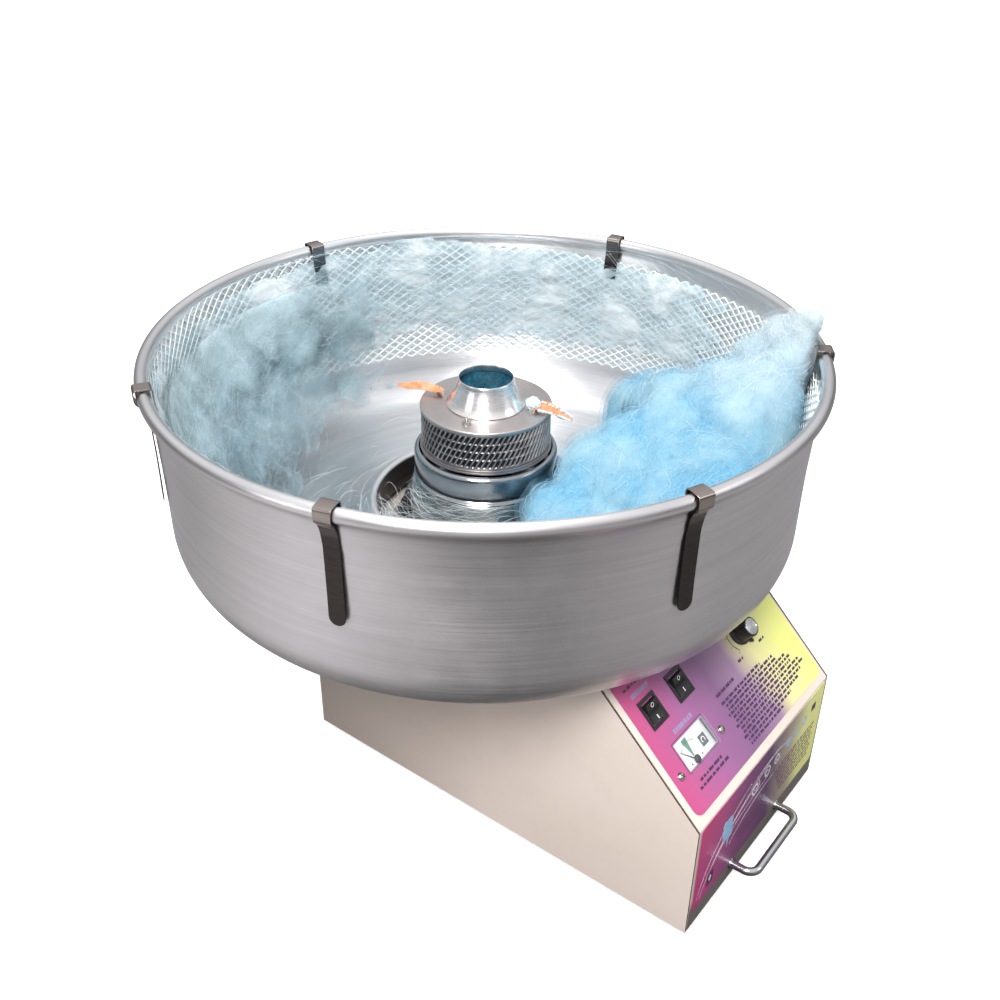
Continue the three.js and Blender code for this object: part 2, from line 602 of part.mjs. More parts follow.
// ---------------------------------------------------------------- spun sugar
/** A web of floss clinging to the netting round the back and left of the bowl. */
function flossWall() {
  const radius = 306.5;
  const z = BOWL_BOTTOM + 118;
  const points = arcPoints(0, 0, radius, -20, 225, 32).map(([x, y]) => new THREE.Vector3(x, y, z));
  return swept(rectangle(0, 0, 110, 3), new THREE.CatmullRomCurve3(points), 44);
}

/** An ellipsoid placed by its polar position, with radial, sideways and upright half-axes. */
function blob(degrees, distance, z, halves, shrink = 0) {
  const [radial, sideways, upright] = halves.map((half) => half - shrink);
  const angle = THREE.MathUtils.degToRad(degrees);
  const ball = new THREE.SphereGeometry(1, 16, 10).rotateX(Math.PI / 2).scale(radial, sideways, upright);
  return ball.translate(distance, 0, 0).rotateZ(angle).translate(0, 0, z);
}

/** The space that the floss heap may fill: clear of the head, floor, netting and rim. */
function heapSpace(inset) {
  const floor = BOWL_BOTTOM + 8 - inset * 6;
  return turned([
    [100 + inset, HUB_TOP + 6 - inset * 6], [126, HUB_TOP + 6 - inset * 6], [172, floor], [262, floor],
    [290, BOWL_BOTTOM + 24], [306 - inset, BOWL_BOTTOM + 58], [306 - inset, BOWL_BOTTOM + 196],
    [306 - inset, BOWL_TOP + 60], [100 + inset, BOWL_TOP + 60],
  ], 32);
}

/** A light heap of floss against the front right wall, hollow and open underneath. */
function flossHeap() {
  const lumps = [
    [-62, 205, BOWL_BOTTOM + 62, [98, 140, 90]],
    [-48, 262, BOWL_BOTTOM + 140, [44, 66, 84]],
    [-20, 240, BOWL_BOTTOM + 52, [60, 92, 62]],
  ];
  const outer = lumps.map((lump) => toSolid(blob(...lump)));
  const inner = lumps.map((lump) => toSolid(blob(...lump, 7)));
  const merge = (solids) => solids.reduce((sum, solid) => sum.add(solid));
  const skin = merge(outer).intersect(toSolid(heapSpace(0)));
  return toGeometry(skin.subtract(merge(inner).intersect(toSolid(heapSpace(7)))));
}

function addFloss(group) {
  addPiece(group, 'floss_wall', flossWall(), flossBlue);
  addPiece(group, 'floss_heap', flossHeap(), flossBlue);
}

// ---------------------------------------------------------------- assembly
const machine = new THREE.Group();
addCabinet(machine);
addControls(panelGroup);
addDrive(driveGroup);
addHead(driveGroup);
addBowl(driveGroup);
addFloss(driveGroup);
machine.add(panelGroup, driveGroup);

export default machine;
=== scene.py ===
# Cotton candy machine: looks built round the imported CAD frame. Metres, +Z up, control panel towards -Y.
import json
import math

import bmesh
import bpy
import numpy as np
from mathutils import Matrix, Vector
from mathutils.bvhtree import BVHTree


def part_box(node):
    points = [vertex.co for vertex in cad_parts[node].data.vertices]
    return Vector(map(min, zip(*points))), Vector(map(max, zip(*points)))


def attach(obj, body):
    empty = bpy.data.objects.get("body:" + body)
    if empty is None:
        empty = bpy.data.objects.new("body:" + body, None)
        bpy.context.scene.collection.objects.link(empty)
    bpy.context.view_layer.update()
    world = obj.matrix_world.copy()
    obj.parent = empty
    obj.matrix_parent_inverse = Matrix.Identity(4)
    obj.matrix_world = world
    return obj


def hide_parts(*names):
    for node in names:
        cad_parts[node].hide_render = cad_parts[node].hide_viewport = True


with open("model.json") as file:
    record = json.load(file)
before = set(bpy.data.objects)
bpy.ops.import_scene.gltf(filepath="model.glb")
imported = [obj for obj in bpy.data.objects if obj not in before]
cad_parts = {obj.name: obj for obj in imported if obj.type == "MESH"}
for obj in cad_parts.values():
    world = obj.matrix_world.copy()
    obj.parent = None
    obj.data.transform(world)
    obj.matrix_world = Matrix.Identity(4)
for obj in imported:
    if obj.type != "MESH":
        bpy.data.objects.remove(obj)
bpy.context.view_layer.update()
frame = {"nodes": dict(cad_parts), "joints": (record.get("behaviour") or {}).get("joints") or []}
MM = 0.001
TAU = 2 * math.pi


# ---------------------------------------------------------------- places read from the frame
def z_range(node):
    """Lowest and highest z of a CAD node, in millimetres."""
    return [corner.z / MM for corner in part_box(node)]


JOINTS = {joint["name"]: joint for joint in frame["joints"]}
AXIS = Vector((0.0, JOINTS["spinner_spin"]["pos_m"][1], 0.0))
AT_AXIS = Matrix.Translation(AXIS)
BOWL_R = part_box("bowl")[1].x / MM
BOWL_BOTTOM, BOWL_TOP = z_range("bowl")
HEAD_TOP = z_range("head_top_plate")[1]
BAND_LOW, BAND_HIGH = z_range("perforated_band")
CUP_LOW, CUP_HIGH = z_range("head_cup")
FUNNEL_LOW, FUNNEL_HIGH = z_range("funnel")
DECK_TOP = z_range("top_deck")[1]
FRONT_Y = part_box("front_panel")[0].y
CABINET_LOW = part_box("front_panel")[0].z

PANEL_NORMAL = Vector(JOINTS["heat_knob_turn"]["axis"])
PANEL_UP = PANEL_NORMAL.cross(Vector((1, 0, 0)))
KNOB_AT = Vector(JOINTS["heat_knob_turn"]["pos_m"])
KNOB_XY = (59.0, 101.5)  # the knob's place on the panel, mm from the fold's middle
KNOB_GAP = 0.6  # from the panel to the knob's underside
PANEL_ORIGIN = (KNOB_AT - Vector((KNOB_XY[0] * MM, 0, 0)) - PANEL_UP * KNOB_XY[1] * MM
                - PANEL_NORMAL * KNOB_GAP * MM)
PANEL = Matrix.Translation(PANEL_ORIGIN) @ Matrix((
    (1, PANEL_UP.x, PANEL_NORMAL.x, 0),
    (0, PANEL_UP.y, PANEL_NORMAL.y, 0),
    (0, PANEL_UP.z, PANEL_NORMAL.z, 0),
    (0, 0, 0, 1),
))
FRONT = Matrix.Translation((0, FRONT_Y, CABINET_LOW)) @ Matrix.Rotation(math.pi / 2, 4, "X")
FILM_LOW, FILM_TOP = 0.35, 0.8  # a printed film's two faces above the sheet under it
INK = 0.06  # thickness of printed ink
SWITCHES = {"main": (-98.0, 108.4), "heat": (-51.0, 108.4)}
METER_XY = (-77.0, 58.0)
METER_SIZE = (54.0, 32.0)
NEEDLE_PIVOT = (-10.0, -10.5)  # from the meter's middle
CLIP_ANGLES = [10, 75.5, 147.7, 196.2, 248.5, 304.5]
STUD_ANGLES = [13, 103, 196, 288]
STUD_R = 50.0


def lifted(place, x, y, z):
    """A place moved by millimetres along its own axes."""
    return place @ Matrix.Translation((x * MM, y * MM, z * MM))


# ---------------------------------------------------------------- material helpers
class Nodes:
    """Small helper that adds and links shader nodes in one material."""

    def __init__(self, name):
        self.material = bpy.data.materials.new(name)
        self.material.use_nodes = True
        self.tree = self.material.node_tree
        self.bsdf = self.tree.nodes["Principled BSDF"]
        self.output = self.tree.nodes["Material Output"]

    def add(self, kind, inputs=None, **settings):
        node = self.tree.nodes.new(kind)
        for key, value in settings.items():
            setattr(node, key, value)
        for key, value in (inputs or {}).items():
            self.put(node.inputs[key], value)
        return node

    def put(self, socket, value):
        if isinstance(value, bpy.types.NodeSocket):
            self.tree.links.new(value, socket)
        elif isinstance(value, bpy.types.Node):
            self.tree.links.new(value.outputs[0], socket)
        else:
            socket.default_value = value

    def set(self, **inputs):
        for key, value in inputs.items():
            self.put(self.bsdf.inputs[key.replace("_", " ")], value)

    def coords(self, scale=(1, 1, 1)):
        texture = self.add("ShaderNodeTexCoord")
        return self.add("ShaderNodeMapping", {"Vector": texture.outputs["Object"], "Scale": scale}).outputs[0]

    def split(self, vector):
        return self.add("ShaderNodeSeparateXYZ", {0: vector}).outputs

    def math(self, operation, a, b=0.0):
        return self.add("ShaderNodeMath", {0: a, 1: b}, operation=operation).outputs[0]

    def vector(self, operation, a, b=None, output="Vector"):
        inputs = {0: a} if b is None else {0: a, 1: b}
        return self.add("ShaderNodeVectorMath", inputs, operation=operation).outputs[output]

    def noise(self, vector, scale, detail=3.0, roughness=0.55, distortion=0.0):
        inputs = {"Vector": vector, "Scale": scale, "Detail": detail, "Roughness": roughness,
                  "Distortion": distortion}
        return self.add("ShaderNodeTexNoise", inputs).outputs["Fac"]

    def ramp(self, factor, stops):
        node = self.add("ShaderNodeValToRGB", {"Fac": factor})
        elements = node.color_ramp.elements
        while len(elements) < len(stops):
            elements.new(0.5)
        for element, (position, colour) in zip(elements, stops):
            element.position = position
            element.color = (*colour, 1)
        return node.outputs["Color"]

    def spread(self, factor, low, high, start=0.3, end=0.7):
        inputs = {"Value": factor, "From Min": start, "From Max": end, "To Min": low, "To Max": high}
        return self.add("ShaderNodeMapRange", inputs).outputs["Result"]

    def mix(self, factor, a, b):
        node = self.add("ShaderNodeMix", data_type="RGBA")
        for socket, value in ((node.inputs["Factor"], factor), (node.inputs[6], a), (node.inputs[7], b)):
            self.put(socket, (*value, 1) if isinstance(value, tuple) else value)
        return node.outputs[2]

    def bump(self, height, strength, distance, normal=None):
        inputs = {"Height": height, "Strength": strength, "Distance": distance}
        if normal is not None:
            inputs["Normal"] = normal
        return self.add("ShaderNodeBump", inputs).outputs["Normal"]

    def radius(self, x, y):
        return self.math("SQRT", self.math("ADD", self.math("MULTIPLY", x, x), self.math("MULTIPLY", y, y)))

    def polar(self, around, across):
        """Coordinates that follow circles round the object's Z axis: (angle, radius, height), scaled."""
        x, y, z = self.split(self.add("ShaderNodeTexCoord").outputs["Object"])
        angle = self.math("ARCTAN2", y, x)
        radius = self.radius(x, y)
        inputs = {
            0: self.math("MULTIPLY", self.math("ABSOLUTE", angle), around),
            1: self.math("MULTIPLY", radius, across),
            2: self.math("MULTIPLY", z, across),
        }
        return self.add("ShaderNodeCombineXYZ", inputs).outputs[0]


def scaled(colour, factor, lift=0.0):
    return tuple(min(1, c * factor + lift) for c in colour)


ACROSS_GROOVES = 0.25  # turns the stretched highlight to run across the lathe lines


def turned_finish(n, base, fine, broad, fine_rough, broad_rough, anisotropy, grooves):
    """Metal off a lathe: fine circular lines, and highlights that fan out from the axis."""
    tangent = n.add("ShaderNodeTangent", direction_type="RADIAL", axis="Z").outputs[0]
    rough = n.math("ADD", n.spread(fine, *fine_rough), n.spread(broad, *broad_rough))
    n.set(Base_Color=base, Metallic=1.0, Roughness=rough, Tangent=tangent)
    n.set(Anisotropic=anisotropy, Anisotropic_Rotation=ACROSS_GROOVES)
    n.set(Normal=n.bump(fine, grooves, 0.0002))
    return n.material


def spun_metal(name, colour, roughness, lines=0.25, anisotropy=0.6, mottle=0.12, tint=None, around=2.5,
               pitch=900, grooves=0.12):
    """Turned metal with soft mottling; tint is the lighter tone where it isn't the colour itself."""
    n = Nodes(name)
    fine = n.noise(n.polar(around, pitch), 1.0, 4.0, 0.7)
    broad = n.noise(n.coords(), 9.0, 4.0, 0.6)
    base = n.mix(n.spread(broad, 0, 1), scaled(colour, 1 - mottle), scaled(tint or colour, 1 + mottle))
    base = n.mix(n.spread(fine, 0, lines), base, scaled(colour, 0.72))
    return turned_finish(n, base, fine, broad, (-0.06, 0.08), (roughness - 0.04, roughness + 0.05),
                         anisotropy, grooves)


def plain_metal(name, colour, roughness, strength=0.05, mottle=0.15):
    """Pressed or plated metal with faint marks."""
    n = Nodes(name)
    marks = n.noise(n.coords((60, 60, 60)), 6.0, 4.0, 0.65)
    broad = n.noise(n.coords(), 14.0, 3.0, 0.5)
    base = n.mix(n.spread(broad, 0, 1), scaled(colour, 1 - mottle), colour)
    n.set(Base_Color=base, Metallic=1.0,
          Roughness=n.spread(marks, max(0.02, roughness * 0.7), roughness * 1.35))
    n.set(Normal=n.bump(marks, strength, 0.0003))
    return n.material


def painted(name, colour, shade, roughness=0.42, metallic=0.0):
    """Baked enamel on sheet steel: faint orange peel, a slow drift of tone and some grime."""
    n = Nodes(name)
    peel = n.noise(n.coords(), 900.0, 2.0, 0.5)
    drift = n.noise(n.coords(), 3.5, 3.0, 0.5)
    grime = n.noise(n.coords(), 38.0, 6.0, 0.7)
    base = n.mix(n.spread(drift, 0, 1), colour, shade)
    base = n.mix(n.spread(grime, 0, 0.22, 0.55, 0.8), base, scaled(shade, 0.72))
    n.set(Base_Color=base, Metallic=metallic, Roughness=n.spread(grime, roughness - 0.05, roughness + 0.1))
    n.set(Normal=n.bump(peel, 0.06, 0.0002))
    return n.material


CREAM = (0.80, 0.69, 0.62)
CREAM_SHADE = (0.72, 0.60, 0.53)
GRIME = (0.42, 0.34, 0.30)
BOWL_SHADOW = (0.30, 0.25, 0.225)
SHADOW_FROM, SHADOW_TO = -0.08, 0.16  # y over which the cabinet darkens towards the rear, under the bowl
FRONT_FOOT = (0.13, 0.115, 0.11)
FRONT_FOOT_Z = (0.034, 0.050)
CUT_EDGE = (0.055, 0.035, 0.03)
SIDE_FACE = 0.1339  # x just inside the side panels' outer faces


def cabinet_paint():
    """Cream enamel; the cut edges of the sheets show as dark brown lines."""
    n = Nodes("cream_enamel")
    peel = n.noise(n.coords(), 900.0, 2.0, 0.5)
    drift = n.noise(n.coords((1, 1, 2)), 2.6, 3.0, 0.5)
    grime = n.noise(n.coords(), 30.0, 6.0, 0.7)
    x, y, z = n.split(n.coords())
    base = n.mix(n.spread(drift, 0, 1), CREAM, CREAM_SHADE)
    base = n.mix(n.spread(grime, 0, 0.10, 0.5, 0.8), base, GRIME)
    base = n.mix(n.spread(y, 0, 0.85, SHADOW_FROM, SHADOW_TO), base, BOWL_SHADOW)
    sideways, forward, upward = n.split(n.add("ShaderNodeTexCoord").outputs["Normal"])
    outer = n.math("GREATER_THAN", n.math("ABSOLUTE", x), SIDE_FACE)
    facing = n.math("LESS_THAN", n.math("ABSOLUTE", sideways), 0.6)
    under = n.math("LESS_THAN", upward, -0.4)
    lip = n.math("MULTIPLY", under, n.math("LESS_THAN", forward, -0.4))
    # the front face turns dark grey along its foot, below the print
    front = n.math("LESS_THAN", forward, -0.9)
    base = n.mix(n.math("MULTIPLY", front, n.spread(z, 0.85, 0.0, *FRONT_FOOT_Z)), base, FRONT_FOOT)
    base = n.mix(n.math("MAXIMUM", n.math("MULTIPLY", outer, facing), lip), base, CUT_EDGE)
    n.set(Base_Color=base, Metallic=0.0, Roughness=n.spread(grime, 0.3, 0.42), Coat_Weight=0.15)
    n.set(Normal=n.bump(peel, 0.05, 0.0002))
    return n.material


def moulded(name, colour, roughness, speckle=0.3):
    """Moulded plastic or rubber with a fine grain."""
    n = Nodes(name)
    grain = n.noise(n.coords(), 700.0, 3.0, 0.6)
    broad = n.noise(n.coords(), 40.0, 3.0, 0.5)
    base = n.mix(n.spread(broad, 0, speckle), colour, scaled(colour, 1.5, 0.02))
    n.set(Base_Color=base, Roughness=n.spread(broad, roughness * 0.8, roughness * 1.2))
    n.set(Normal=n.bump(grain, 0.08, 0.0002))
    return n.material


def print_ink(name, colour):
    """Screen-printed ink: even colour with slight pinholes of tone."""
    n = Nodes(name)
    grain = n.noise(n.coords(), 1600.0, 2.0, 0.5)
    n.set(Base_Color=n.mix(n.spread(grain, 0, 1, 0.2, 0.8), colour, scaled(colour, 1.15, 0.01)),
          Roughness=0.38)
    return n.material


def rainbow_print(name, matrix, stops, tilt, width, fold=None):
    """Printed overlay: a smooth run of colours along one direction, with a painted shadow line just under a
    fold in the sheet.
    """
    n = Nodes(name)
    inverse = matrix.inverted()
    local = n.add("ShaderNodeMapping", {"Vector": n.add("ShaderNodeTexCoord").outputs["Object"]},
                  vector_type="POINT")
    local.inputs["Rotation"].default_value = inverse.to_euler("XYZ")
    local.inputs["Location"].default_value = inverse.translation
    x, y, _ = n.split(local)
    across = n.math("ADD", x, n.math("MULTIPLY", y, tilt))
    drift = n.noise(n.coords(), 11.0, 2.0, 0.5)
    place = n.math("ADD", n.math("DIVIDE", across, width), n.spread(drift, -0.05, 0.05))
    colour = n.ramp(n.math("ADD", place, 0.5), stops)
    # painted shadow: a near-black line just below the fold
    if fold:
        colour = n.mix(n.spread(y, 0, 0.85, fold - 0.0035, fold - 0.0015), colour, (0.04, 0.025, 0.025))
    grain = n.noise(n.coords(), 1400.0, 2.0, 0.5)
    n.set(Base_Color=colour, Roughness=n.spread(grain, 0.40, 0.52), Coat_Weight=0.03)
    return n.material


# ---------------------------------------------------------------- mesh helpers
def finish_piece(name, mesh, material, body, replaces=(), angle=35, matrix=None):
    obj = bpy.data.objects.new(name, mesh)
    bpy.context.scene.collection.objects.link(obj)
    mesh.materials.append(material)
    mesh.shade_smooth()
    if angle:
        mesh.set_sharp_from_angle(angle=math.radians(angle))
    if matrix is not None:
        obj.matrix_world = matrix
    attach(obj, body)
    if replaces:
        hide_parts(*replaces)
    return obj


def joined_piece(name, parts, material, body, replaces=(), angle=35, matrix=None):
    """One piece out of (points, faces) parts."""
    return finish_piece(name, join_meshes(name, parts), material, body, replaces, angle, matrix)


def floss_piece(name, parts, material):
    return joined_piece(name, parts, material, "bowl", (), 0, AT_AXIS)


def mesh_from(name, points, faces):
    """A mesh from points in millimetres."""
    mesh = bpy.data.meshes.new(name)
    mesh.from_pydata([tuple(c * MM for c in p) for p in points], [], faces)
    mesh.validate()
    mesh.update()
    return mesh


def join_meshes(name, parts):
    """One mesh out of (points, faces) lists in millimetres."""
    points, faces = [], []
    for part_points, part_faces in parts:
        base = len(points)
        points.extend(part_points)
        faces.extend(tuple(base + i for i in face) for face in part_faces)
    return mesh_from(name, points, faces)


def arc(cx, cy, radius, start, end, steps):
    """Points on an arc, angles in degrees."""
    angles = np.radians(np.linspace(start, end, steps + 1))
    return [(cx + radius * math.cos(a), cy + radius * math.sin(a)) for a in angles]


def disc(cx, cy, radius, sides):
    """Outline of a round spot."""
    return arc(cx, cy, radius, 0, 360 * (sides - 1) / sides, sides - 1)


def rounded(cx, cy, width, height, radius, steps=6):
    """Outline of a rectangle with rounded corners."""
    w, h = width / 2 - radius, height / 2 - radius
    corners = [(w, -h, -90), (w, h, 0), (-w, h, 90), (-w, -h, 180)]
    return [p for x, y, start in corners for p in arc(cx + x, cy + y, radius, start, start + 90, steps)]


def round_z(r, angle, z):
    """The point at that radius, angle in radians and height."""
    return r * math.cos(angle), r * math.sin(angle), z


def lathe_mesh(name, outline, segments, shape=None):
    """Turns a closed outline of (radius, height), anticlockwise, about Z. shape may nudge each radius."""
    points, faces = [], []
    rows = len(outline)
    for i in range(segments):
        angle = TAU * i / segments
        points += [round_z(r + (shape(r, z, angle) if shape else 0.0), angle, z) for r, z in outline]
    for i in range(segments):
        a, b = i * rows, (i + 1) % segments * rows
        for j in range(rows):
            k = (j + 1) % rows
            faces.append((a + j, b + j, b + k, a + k))
    return mesh_from(name, points, faces)


def lathe_piece(name, outline, segments, material, body, replaces, angle, shape=None):
    return finish_piece(name, lathe_mesh(name, outline, segments, shape), material, body, replaces,
                        angle, AT_AXIS)


def prism(loop_a, loop_b):
    """A closed solid between two outlines with the same number of points: loop_a is seen from behind."""
    count = len(loop_a)
    sides = [(i, (i + 1) % count, count + (i + 1) % count, count + i) for i in range(count)]
    return [*loop_a, *loop_b], [tuple(reversed(range(count))), tuple(range(count, 2 * count)), *sides]


def slab(outline, low=0, high=INK):
    """A flat plate: outline in XY, between two heights."""
    return prism([(x, y, low) for x, y in outline], [(x, y, high) for x, y in outline])


def strip_between(a, b, low=0.0, high=INK):
    """A thin closed ribbon between two lines with the same number of points."""
    count = len(a)
    points = [(*p, z) for z in (low, high) for line in (a, b) for p in line]
    faces = []
    for i in range(count - 1):
        faces.append((i, i + 1, count + i + 1, count + i))
        faces.append((2 * count + i + 1, 2 * count + i, 3 * count + i, 3 * count + i + 1))
        faces.append((i + 1, i, 2 * count + i, 2 * count + i + 1))
        faces.append((count + i, count + i + 1, 3 * count + i + 1, 3 * count + i))
    faces.append((0, count, 3 * count, 2 * count))
    faces.append((2 * count - 1, count - 1, 3 * count - 1, 4 * count - 1))
    return points, faces


def ring_stroke(cx, cy, radius, width, start=0, end=360, steps=48, low=0.0, high=INK):
    outer = arc(cx, cy, radius + width / 2, start, end, steps)
    inner = arc(cx, cy, radius - width / 2, start, end, steps)
    return strip_between(outer, inner, low, high)


def bevel(obj, width, segments=3, angle=30):
    modifier = obj.modifiers.new("edge", "BEVEL")
    modifier.width = width * MM
    modifier.segments = segments
    modifier.limit_method = "ANGLE"
    modifier.angle_limit = math.radians(angle)
    modifier.harden_normals = True


def tube_faces(sections, sides):
    """Side faces of a tube whose points come section by section."""
    return [(i * sides + k, i * sides + (k + 1) % sides, (i + 1) * sides + (k + 1) % sides,
             (i + 1) * sides + k)
            for i in range(sections - 1) for k in range(sides)]


def sweep(points, radius, sides=16):
    """A round tube along a list of points, as (points, faces). radius may be one for each point."""
    path = [Vector(p) for p in points]
    last = len(path) - 1
    tangents = [(path[min(i + 1, last)] - path[max(i - 1, 0)]).normalized() for i in range(last + 1)]
    side = tangents[0].orthogonal().normalized()
    verts = []
    for i, (p, t) in enumerate(zip(path, tangents)):
        side = (side - t * side.dot(t)).normalized()
        up = t.cross(side)
        r = radius[i] if isinstance(radius, (list, tuple)) else radius
        for k in range(sides):
            a = TAU * k / sides
            verts.append(tuple(p + (side * math.cos(a) + up * math.sin(a)) * r))
    caps = [tuple(reversed(range(sides))), tuple(range(last * sides, (last + 1) * sides))]
    return verts, tube_faces(last + 1, sides) + caps


def grid_faces(across, up, kept=None):
    """Faces of a grid of points that come column by column, but for those whose first corner isn't kept."""
    rows = up + 1
    firsts = [i * rows + j for i in range(across) for j in range(up)]
    return [(a, a + rows, a + rows + 1, a + 1) for a in firsts if kept is None or kept[a]]


def cad(node, material, bevel_width=0.0, segments=2):
    """A CAD node that stays: better material and softened edges."""
    obj = frame["nodes"][node]
    obj.data.materials.clear()
    obj.data.materials.append(material)
    if bevel_width:
        bevel(obj, bevel_width, segments)
    return obj


# ---------------------------------------------------------------- camera, floor and light
CAMERA_AT = (-0.8265, -0.6168, 0.9494)  # in front and to the left of the machine, above the bowl
CAMERA_RIGHT = Vector((0.6069, -0.7947, 0.0116))
CAMERA_UP = Vector((0.4171, 0.3308, 0.8465))
LENS, SENSOR = 42.48, 36.0
FLOOR_EDGE = 40.0
FLOOR_SEEN = (0.93, 0.93, 0.93)
# painted shade: for all but camera rays the floor is painted grey, so it gives back less light than its white
# look
FLOOR_BOUNCE = 0.27  # what the floor gives back to the machine, away from the patches below
FLOOR_PAINTED_LIGHT_AND_SHADOW = (
    # painted pools of light (gain above 0) and painted shadows (gain below 0): middle, gain at the middle,
    # radius where it starts to fade, radius where it ends
    ((-0.92, 0.30), 0.20, 0.15, 0.70),
    ((-0.60, -0.62), -0.16, 0.20, 0.62),
    ((0.0, 0.0), -0.22, 0.34, 0.62),
)
FLOOR_GLOW = 0.42
SKY = ((0.001, 0.13), (0.14, 0.20), (0.35, 0.60), (0.6, 0.95), (0.999, 1.1))  # height of the view line, grey
LIGHTS = (
    # name, place, aimed at, size, watts
    ("key", (-1.65, -0.75, 2.45), (0, 0, 0.2), 1.2, 88),
    ("side", (-2.3, 0.8, 0.9), (0, 0, 0.35), 1.0, 7),
    ("fill", (1.2, -2.4, 1.9), (0, 0, 0.3), 1.4, 7),
    ("top", (0.3, 0.4, 2.8), (0, 0, 0.3), 1.2, 15),
)


def place_camera():
    """The photographer's place, looking down on the machine."""
    data = bpy.data.cameras.new("camera")
    data.lens = LENS
    data.sensor_width = SENSOR
    camera = bpy.data.objects.new("camera", data)
    bpy.context.scene.collection.objects.link(camera)
    back = CAMERA_RIGHT.cross(CAMERA_UP).normalized()
    up = back.cross(CAMERA_RIGHT).normalized()
    rotation = Matrix((CAMERA_RIGHT.normalized(), up, back)).transposed().to_4x4()
    camera.matrix_world = Matrix.Translation(CAMERA_AT) @ rotation
    bpy.context.scene.camera = camera


def area_light(name, location, target, size, power):
    data = bpy.data.lights.new(name, "AREA")
    data.shape = "DISK"
    data.size = size
    data.energy = power
    light = bpy.data.objects.new(name, data)
    bpy.context.scene.collection.objects.link(light)
    light.location = location
    light.rotation_euler = (Vector(target) - Vector(location)).to_track_quat("-Z", "Y").to_euler()


def floor_material():
    """White to the camera; for other rays painted grey with painted pools of light and painted shadows, so
    the bowl's skin shows light and dark bands.
    """
    n = Nodes("pale_floor")
    seen = n.add("ShaderNodeLightPath").outputs["Is Camera Ray"]
    gain = FLOOR_BOUNCE
    for (x, y), strength, start, end in FLOOR_PAINTED_LIGHT_AND_SHADOW:
        off = n.vector("DISTANCE", n.coords(), (x, y, 0), "Value")
        gain = n.math("ADD", gain, n.spread(off, strength, 0, start, end))
    bounce = n.add("ShaderNodeCombineXYZ", {0: gain, 1: gain, 2: gain}).outputs[0]
    n.set(Base_Color=n.mix(seen, bounce, FLOOR_SEEN), Roughness=0.9, Specular_IOR_Level=0.1)
    n.set(Emission_Color=(1, 1, 1, 1), Emission_Strength=n.math("MULTIPLY", seen, FLOOR_GLOW))
    return n.material


def place_floor():
    e = FLOOR_EDGE
    mesh = bpy.data.meshes.new("floor")
    mesh.from_pydata([(-e, -e, 0), (e, -e, 0), (e, e, 0), (-e, e, 0)], [], [(0, 1, 2, 3)])
    floor = bpy.data.objects.new("floor", mesh)
    bpy.context.scene.collection.objects.link(floor)
    mesh.materials.append(floor_material())


def place_world():
    """Bright overhead and a darker horizon, so metal shows light tops and dark sides; white to the camera."""
    world = bpy.data.worlds.new("studio")
    bpy.context.scene.world = world
    world.use_nodes = True
    tree = world.node_tree
    direction = tree.nodes.new("ShaderNodeTexCoord")
    part = tree.nodes.new("ShaderNodeSeparateXYZ")
    ramp = tree.nodes.new("ShaderNodeValToRGB")
    tree.links.new(direction.outputs["Generated"], part.inputs[0])
    tree.links.new(part.outputs["Z"], ramp.inputs["Fac"])
    elements = ramp.color_ramp.elements
    for position, grey in SKY:
        elements.new(position).color = (grey, grey * 1.01, grey * 1.03, 1)
    elements.remove(elements[-1])
    elements.remove(elements[0])
    ray = tree.nodes.new("ShaderNodeLightPath")
    backdrop = tree.nodes.new("ShaderNodeMix")
    backdrop.data_type = "RGBA"
    backdrop.inputs[7].default_value = (1, 1, 1, 1)
    tree.links.new(ray.outputs["Is Camera Ray"], backdrop.inputs["Factor"])
    tree.links.new(ramp.outputs["Color"], backdrop.inputs[6])
    tree.links.new(backdrop.outputs[2], tree.nodes["Background"].inputs["Color"])


def place_studio():
    place_floor()
    place_world()
    for light in LIGHTS:
        area_light(*light)
    view = bpy.context.scene.view_settings
    view.view_transform = "Standard"
    view.look = "None"


# ---------------------------------------------------------------- bowl, netting and clips
SHEET = 2.0  # the bowl's wall
# The wall's outline, as height above the bottom and radius
WALL_STEPS = [(55, 315.5), (128, 316.5), (167, 318.0), (187, 320.6), (197, 323.0)]
WALL_HEIGHTS = (70, 85, 100, 114, 128, 140, 154, 167, 177, 187, 193, 197)
CORNER = 55.0
CORNER_R, CORNER_Z = WALL_STEPS[0][1] - CORNER, BOWL_BOTTOM + CORNER  # centre of the rounded bottom corner
ROLL = 6.5
HUB_R, HUB_TOP = 112.5, BOWL_BOTTOM + 39.6  # the raised centre hole and its lip
FLOOR_Z = BOWL_BOTTOM + SHEET


